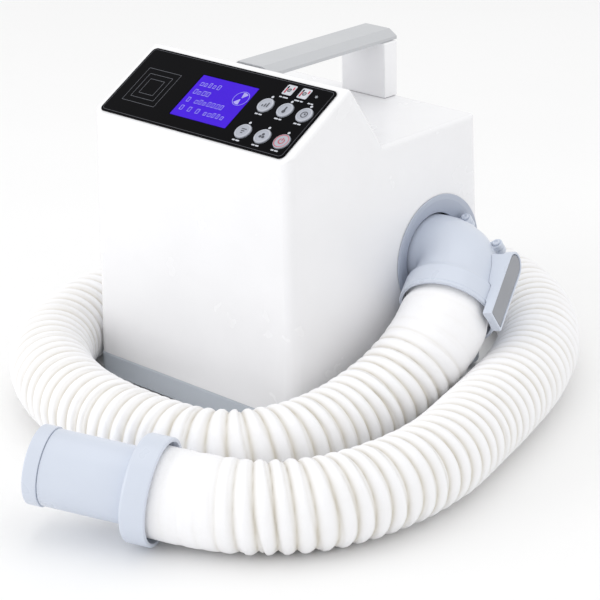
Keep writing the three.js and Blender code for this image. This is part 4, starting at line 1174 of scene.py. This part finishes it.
def boss_half(x, z, reach, side):
    """Half of a screw boss: a barrel across the joint plane on a web that stands on the elbow."""
    barrel = rounded(metres([(1.9, 0.15), (4.6, 0.15), (4.6, 5), (1.9, 5)]), [0, 0.0003, 0.0006, 0.0003])
    upright = Matrix.Translation((x, 0, z)) @ (ALONG_Y if side > 0 else Matrix.Rotation(math.pi / 2, 4, "X"))
    lean = Matrix.Translation((x, 0, z)) @ Matrix.Rotation(math.atan2(x - NECK_OUT, z + BEND_RADIUS), 4, "Y")
    web = rounded([Vector((-0.0042, -reach)), Vector((-0.0019, -reach)), Vector((-0.0019, -0.0035)),
                   Vector((-0.0042, -0.0005))], 0.0002)
    low, high = sorted((side * GAP / 2, side * 0.005))
    webs = []
    for mirror in (1, -1):
        outline = [Vector((p.x * mirror, p.y)) for p in web]
        flat = plate(outline if mirror > 0 else outline[::-1], [], low, high)
        webs.append(moved(flat, lean @ Matrix.Rotation(math.pi / 2, 4, "X") @ Matrix.Scale(-1, 4, (0, 0, 1))))
    fill = moved(block(-0.0025, 0.0025, low, high, -reach, -0.0035), lean)
    return [moved(lathe(barrel, 40, looped=True), upright), *webs, fill]


class DRYER_OT_elbow(bpy.types.Operator):
    """Builds the outlet ring, the two elbow halves with their screw bosses, and the screws"""
    bl_idname = "dryer.elbow"
    bl_label = "Outlet ring and elbow"

    def execute(self, context):
        bezel = rounded(metres([(33.2, -8), (46.3, -8), (46.3, 0.4), (49.3, 0.4), (49.3, 1.3),
                                (44.8, 0.6), (33.2, -3.8)]),
                        [0, 0, 0, 0.0002, 0.0006, 0.0012, 0.0006])
        ring = make("outlet_bezel", [lathe(bezel, 128, looped=True)], OUTLET_PLACE @ ALONG_X)
        dress(ring, "abs_moulded_bezel_grey", "housing", ["outlet_ring"])
        for node, side in (("elbow_upper_half", -1), ("elbow_lower_half", 1)):
            parts = [half_elbow(side)]
            for boss in BOSSES:
                parts += boss_half(*boss, side)
            half = make(f"{node}_moulding", parts, ELBOW_PLACE)
            dress(half, "abs_moulded_pale_blue", "elbow", [node], crease=24)
        for index, (x, z, _) in enumerate(BOSSES, 1):
            section = rounded(metres([(1.4, 4.6), (1.4, -5.3), (3, -5.3), (3, -6.9), (1.5, -6.9),
                                      (1.3, -6.3)]),
                              [0, 0, 0.0002, 0.0006, 0.0002, 0], closed=False)
            place = ELBOW_PLACE @ Matrix.Translation((x, 0, z)) @ ALONG_Y
            screw = make(f"elbow_screw_cap_{index}", [lathe(section, 40)], place)
            dress(screw, "abs_moulded_pale_blue", "elbow", [f"elbow_screw_{index}"])
        return {"FINISHED"}


def elbow_envelope(sides=96):
    """The space that the elbow takes up, with a gap all round."""
    rings = []
    for centre, outside, outer, _ in elbow_stations():
        rings.append([centre + (outside * math.cos(a) + Vector((0, 1, 0)) * math.sin(a)) * (outer + GAP)
                      for a in np.linspace(0, 2 * math.pi, sides, endpoint=False)])
    return loft(rings)


def pad_outline(margin, steps=28):
    """The latch pad's outline: square at the mouth's end and round at the other."""
    r = PAD["half"] - margin
    round_centre = PAD["high"] - PAD["half"]
    corners = rounded([Vector((-r, PAD["low"] + margin)), Vector((r, PAD["low"] + margin)),
                       Vector((r, round_centre - 0.001)), Vector((-r, round_centre - 0.001))],
                      [0.0008, 0.0008, 0, 0], 3)[:-2]
    cap = [Vector((r * math.cos(math.pi * k / steps), round_centre + r * math.sin(math.pi * k / steps)))
           for k in range(steps + 1)]
    return corners + cap


# (across, along, depth) of the pad to (depth, across, along) of the mouth
ON_PAD = Matrix(((0, 0, 1, 0), (1, 0, 0, 0), (0, 1, 0, 0), (0, 0, 0, 1)))


class DRYER_OT_latch(bpy.types.Operator):
    """Builds the latch frame on the elbow's collar and the lever that snaps the hose in"""
    bl_idname = "dryer.latch"
    bl_label = "Latch"

    def execute(self, context):
        face, half = PAD["face"], PAD["half"]
        rim = moved(plate(pad_outline(0), [pad_outline(0.0018)], face - PAD["depth"], face, 0.0003), ON_PAD)
        frame_piece = make("latch_frame_moulding", [rim])
        cheek_outline = [Vector((0.018, 0.002)), Vector((face - 0.001, 0.002)), Vector((face - 0.001, 0.05)),
                         Vector((0.026, 0.05)), Vector((0.0215, 0.033)), Vector((0.018, 0.024))]
        cheeks = []
        for low in (-half, half - 0.0024):
            # the outline is (x, z); it is laid across Y
            flat = plate(cheek_outline, [], -low - 0.0024, -low)
            cheeks.append(moved(flat, Matrix.Rotation(math.pi / 2, 4, "X")))
        cheek_piece = round_edges(make("cheeks", cheeks), 0.0004, 2)
        boolean = frame_piece.modifiers.new("cheeks", "BOOLEAN")
        boolean.operation, boolean.solver, boolean.object = "UNION", "EXACT", cheek_piece
        settle(frame_piece)
        bpy.data.objects.remove(cheek_piece)
        cut_away(frame_piece, make("clearance", [elbow_envelope()], MOUTH_PLACE.inverted() @ ELBOW_PLACE))
        cut_away(frame_piece, make("bore", [lathe([(0.0391, -0.03), (0.0391, 0.0183)], 128)]))
        pin_hole = moved(lathe([(0.00155, -0.0108), (0.00155, 0.0108)], 24),
                         Matrix.Translation((PIVOT[0], 0, PIVOT[1])) @ ALONG_Y)
        cut_away(frame_piece, make("pin_hole", [pin_hole]))
        frame_piece.data.transform(MOUTH_PLACE)
        dress(frame_piece, "abs_moulded_pale_blue", "elbow", ["latch_frame"], crease=26)
        self.lever(face)
        pin = rounded(metres([(1.2, -10.6), (1.2, 10.6)]), 0, closed=False)
        place = MOUTH_PLACE @ Matrix.Translation((PIVOT[0], 0, PIVOT[1])) @ ALONG_Y
        dress(make("latch_hinge_pin", [lathe(pin, 24)], place), "steel_zinc_plated", "elbow",
              ["latch_pin"])
        return {"FINISHED"}

    @staticmethod
    def lever(face):
        """The lever: a plain thumb field, a dividing line and a finely ribbed round end."""
        under = face - 0.0026
        parts = [moved(plate(pad_outline(0.0026), [], under, face - 0.0004, 0.0003), ON_PAD)]
        divide = PAD["low"] + 0.52 * (PAD["high"] - PAD["low"])
        parts.append(moved(plate(rectangle(0, divide, 0.0166, 0.0014, 0.0006, 3), [],
                                 face - 0.0006, face + 0.0006,
                                 0.0002), ON_PAD))
        pitch, round_centre, reach = 0.0024, PAD["high"] - PAD["half"], PAD["half"] - 0.0026
        for k in range(1, 15):
            along = divide + 0.0006 + k * pitch
            rest = max(0.0, along - round_centre)
            if rest > reach - 0.0015:
                break
            width = 2 * math.sqrt(reach ** 2 - rest ** 2) - 0.0012
            parts.append(moved(plate(rectangle(0, along, width, 0.0012, 0.0005, 3), [], face - 0.0006,
                                     face + 0.0006, 0.00025), ON_PAD))
        hub = moved(lathe([(0.0028, -0.0052), (0.0028, 0.0052)], 32),
                    Matrix.Translation((PIVOT[0], 0, PIVOT[1])) @ ALONG_Y)
        web = block(PIVOT[0], under + 0.0002, -0.0052, 0.0052, PIVOT[1] - 0.0024, PIVOT[1] + 0.0024)
        hook = block(under - 0.003, under + 0.0002, -0.005, 0.005, PAD["low"] + 0.0035, PAD["low"] + 0.0065)
        lever = make("latch_lever_plate", [*parts, hub, web, hook], MOUTH_PLACE)
        bore = moved(lathe([(0.0018, -0.02), (0.0018, 0.02)], 24),
                     MOUTH_PLACE @ Matrix.Translation((PIVOT[0], 0, PIVOT[1])) @ ALONG_Y)
        cut_away(lever, make("lever_bore", [bore]))
        dress(lever, "abs_moulded_lever_grey", "latch", ["latch_lever"], crease=30)


# ---- rear face and inner parts ---------------------------------------------------------------
class DRYER_OT_rear(bpy.types.Operator):
    """Builds the intake grille, its filter pad and the mains inlet"""
    bl_idname = "dryer.rear"
    bl_label = "Rear face"

    def execute(self, context):
        grille = softened("filter_grille", "intake_grille", 0.0007)
        dress(grille, "abs_moulded_satin_tray", "housing", ["filter_grille"])
        pad = softened("filter_pad", "intake_filter_pad", 0.0012)
        dress(pad, "foam_reticulated", "housing", ["filter_pad"])
        inlet = softened("power_inlet", "mains_inlet", 0.0004)
        dress(inlet, "nylon_glass_filled", "housing", ["power_inlet"])
        return {"FINISHED"}


INNER_FINISHES = {
    "air_sensor": "steel_zinc_plated", "control_board": "fr4_solder_mask",
    "display_module": "nylon_glass_filled",
    "handle_screw_front": "steel_zinc_plated", "handle_screw_rear": "steel_zinc_plated",
    "heater_duct": "steel_zinc_plated", "heater_element": "mica_ceramic", "impeller": "polypropylene_white",
    "latch_spring": "steel_zinc_plated", "motor": "steel_zinc_plated", "motor_bracket": "steel_zinc_plated",
    "motor_shaft": "steel_zinc_plated", "power_board": "fr4_solder_mask",
    "swivel_retainer": "nylon_glass_filled",
    "thermal_cutout": "steel_zinc_plated", "volute_front": "nylon_glass_filled",
    "volute_rear": "nylon_glass_filled",
}


class DRYER_OT_inner_parts(bpy.types.Operator):
    """Gives the blower, heater, boards and fixings their finishes"""
    bl_idname = "dryer.inner_parts"
    bl_label = "Inner parts"

    def execute(self, context):
        shown = {name: node for name, node in NODES.items() if not node.hide_render}
        missing = sorted(set(shown) - set(INNER_FINISHES))
        if missing:
            raise RuntimeError(f"these parts have no finish: {missing}")
        for name, node in shown.items():
            node.data.materials.clear()
            node.data.materials.append(finish(INNER_FINISHES[name]))
            node.data.shade_smooth()
            node.data.set_sharp_from_angle(angle=math.radians(35))
        return {"FINISHED"}


# ---- stage -----------------------------------------------------------------------------------
class DRYER_OT_stage(bpy.types.Operator):
    """Lays a pale floor and sets soft studio lights round the dryer"""
    bl_idname = "dryer.stage"
    bl_label = "Stage"

    def execute(self, context):
        settings = context.scene.dryer_stage
        half = settings.floor_size / 2
        floor = make("floor", [plate(rectangle(0, 0, 2 * half, 2 * half, 0.3, 8), [], -0.02, 0)])
        floor.data.materials.append(self.floor_paint(list(settings.floor_colour) + [1.0]))
        world = bpy.data.worlds.new("studio")
        world.use_nodes = True
        background = world.node_tree.nodes["Background"]
        background.inputs["Color"].default_value = list(settings.floor_colour) + [1.0]
        background.inputs["Strength"].default_value = settings.surround
        context.scene.world = world
        context.scene.view_settings.view_transform = "Standard"
        lights = (
            ("key_softbox", (-1.0, -2.1, 0.95), 1.6, settings.key_power),
            ("overhead_softbox", (0.2, 0.1, 2.0), 1.8, settings.overhead_power),
            ("side_softbox", (2.2, 0.4, 1.1), 1.4, settings.side_power),
        )
        for name, spot, size, power in lights:
            data = bpy.data.lights.new(name, "AREA")
            data.shape, data.size, data.energy = "SQUARE", size, power
            lamp = bpy.data.objects.new(name, data)
            lamp.location = spot
            aim = Vector((0, 0, 0.12)) - Vector(spot)
            lamp.rotation_euler = aim.to_track_quat("-Z", "Y").to_euler()
            context.scene.collection.objects.link(lamp)
        return {"FINISHED"}

    @staticmethod
    def floor_paint(colour):
        """Matt white paint on a smooth board: bright, with hardly any sheen."""
        material, tree = new_finish("paint_matt_white_board")
        place = add_node(tree, "ShaderNodeTexCoord").outputs["Object"]
        base = tinted(tree, colour, darker(colour, 0.985), patches(tree, place, 0.4, 0.0, 1.0))
        surface(tree, {"IOR": 1.5, "Roughness": 0.85}, {"Base Color": base})
        return material


# ---- settings, sidebar and registration -------------------------------------------------------
def colour_setting(name, description, code):
    """A colour property with that hex default."""
    return FloatVectorProperty(name=name, description=description, subtype="COLOR", size=3, min=0, max=1,
                               default=linear(code)[:3])


def length_setting(name, description, default):
    """A length property with that default in metres."""
    return FloatProperty(name=name, description=description, default=default, min=0, unit="LENGTH",
                         precision=5)


class DryerColours(bpy.types.PropertyGroup):
    """Colours of the moulded, printed and woven parts, and of the painted shade in the hose's folds"""
    shell: colour_setting("Cover", "White ABS of the cover and handle post", "F6F6F8")
    tray: colour_setting("Base tray", "Bluish grey ABS of the base tray and grille", "C2C9D2")
    grip: colour_setting("Grip", "Light grey ABS of the carrying grip", "C3C5C8")
    ring: colour_setting("Outlet ring", "Grey ABS of the outlet ring", "B9C0CE")
    lever: colour_setting("Latch lever", "Grey ABS of the latch lever", "94969C")
    elbow: colour_setting("Elbow and nozzle", "Pale blue-grey ABS of the elbow and nozzle", "D2D9E6")
    overlay: colour_setting("Panel film", "Black print behind the panel film", "030306")
    display: colour_setting("Display", "Glow of the display", "360CB4")
    key: colour_setting("Keys", "Silver paint of the keys", "A9ADB8")
    hose: colour_setting("Hose", "White PVC coating of the hose", "F9F9FB")
    # painted shade: the colour that the hose takes deep in its folds
    hose_fold_shade: colour_setting("Hose folds", "Tone deep in the hose's folds", "D3CDC0")


class DryerHousing(bpy.types.PropertyGroup):
    """Edge sizes of the cover and handle"""
    corner: length_setting("Upright corners", "Radius of the cover's upright corners", CORNER)
    edge: length_setting("Other edges", "Radius of the cover's other edges", 0.0035)
    grip_edge: length_setting("Grip edges", "Radius of the grip's edges", 0.0014)


class DryerHose(bpy.types.PropertyGroup):
    """Winding of the hose"""
    pitch: length_setting("Wire pitch", "Distance from one turn of the wire to the next", 0.0118)
    fold_depth: length_setting("Fold depth", "How deep the cloth falls in between the turns", 0.0033)
    crease_depth: length_setting("Crease depth", "Depth of the slanting creases between the turns", 0.0012)
    bulge: length_setting("Bulge", "How far the hose bulges where it leaves the elbow", 0.0024)
    seed: IntProperty(name="Seed", description="Picks the pattern of uneven folds", default=4, min=0)


class DryerStage(bpy.types.PropertyGroup):
    """Camera, floor and light"""
    lens: FloatProperty(name="Lens", description="Focal length of the camera", default=135.06, unit="CAMERA")
    camera_place: FloatVectorProperty(name="Camera place", description="Where the camera stands",
                                      default=(1.2046, -1.2318, 0.7437), subtype="TRANSLATION", unit="LENGTH")
    camera_azimuth: FloatProperty(name="Camera azimuth", description="Turn of the camera about the upright",
                                  default=math.radians(44.09), subtype="ANGLE", unit="ROTATION")
    camera_drop: FloatProperty(name="Camera drop", description="How far below level the camera looks",
                               default=math.radians(21.57), subtype="ANGLE", unit="ROTATION")
    camera_roll: FloatProperty(name="Camera roll", description="Turn of the camera about its line of sight",
                               default=-0.02353, subtype="ANGLE", unit="ROTATION")
    floor_size: length_setting("Floor size", "Side of the floor board", 9.0)
    floor_colour: colour_setting("Floor", "Paint of the floor and surround", "F8F8F8")
    surround: FloatProperty(name="Surround", description="Strength of the light all round",
                            default=0.95, min=0)
    key_power: FloatProperty(name="Key light", description="Power of the softbox at the front left",
                             default=13.0, min=0, unit="POWER")
    overhead_power: FloatProperty(name="Overhead light", description="Power of the softbox overhead",
                                  default=6.0, min=0, unit="POWER")
    side_power: FloatProperty(name="Side light", description="Power of the softbox at the right",
                              default=1.5, min=0, unit="POWER")


class DRYER_PT_pieces(bpy.types.Panel):
    """Lists the dryer's pieces and their settings"""
    bl_label = "Dryer"
    bl_idname = "DRYER_PT_pieces"
    bl_space_type = "VIEW_3D"
    bl_region_type = "UI"
    bl_category = "Dryer"

    def draw(self, context):
        for step in STEPS:
            self.layout.operator(step.bl_idname, text=step.bl_label)
        for group in (context.scene.dryer_colours, context.scene.dryer_housing, context.scene.dryer_hose,
                      context.scene.dryer_stage):
            box = self.layout.box()
            for name in group.__annotations__:
                box.prop(group, name)


STEPS = (DRYER_OT_camera, DRYER_OT_hose, DRYER_OT_nozzle, DRYER_OT_housing, DRYER_OT_base, DRYER_OT_handle,
         DRYER_OT_panel, DRYER_OT_keys, DRYER_OT_elbow, DRYER_OT_latch, DRYER_OT_rear, DRYER_OT_inner_parts,
         DRYER_OT_stage)
GROUPS = {"dryer_colours": DryerColours, "dryer_housing": DryerHousing, "dryer_hose": DryerHose,
          "dryer_stage": DryerStage}


def register():
    for group in GROUPS.values():
        bpy.utils.register_class(group)
    for name, group in GROUPS.items():
        setattr(bpy.types.Scene, name, PointerProperty(type=group))
    for cls in (*STEPS, DRYER_PT_pieces):
        bpy.utils.register_class(cls)


def unregister():
    for cls in (DRYER_PT_pieces, *reversed(STEPS)):
        bpy.utils.unregister_class(cls)
    for name in GROUPS:
        delattr(bpy.types.Scene, name)
    for group in reversed(GROUPS.values()):
        bpy.utils.unregister_class(group)


def main():
    register()
    bpy.ops.dryer.camera()
    bpy.ops.dryer.hose()
    bpy.ops.dryer.nozzle()
    bpy.ops.dryer.housing()
    bpy.ops.dryer.base()
    bpy.ops.dryer.handle()
    bpy.ops.dryer.panel()
    bpy.ops.dryer.keys()
    bpy.ops.dryer.elbow()
    bpy.ops.dryer.latch()
    bpy.ops.dryer.rear()
    bpy.ops.dryer.inner_parts()
    bpy.ops.dryer.stage()


if __name__ == "__main__":
    main()
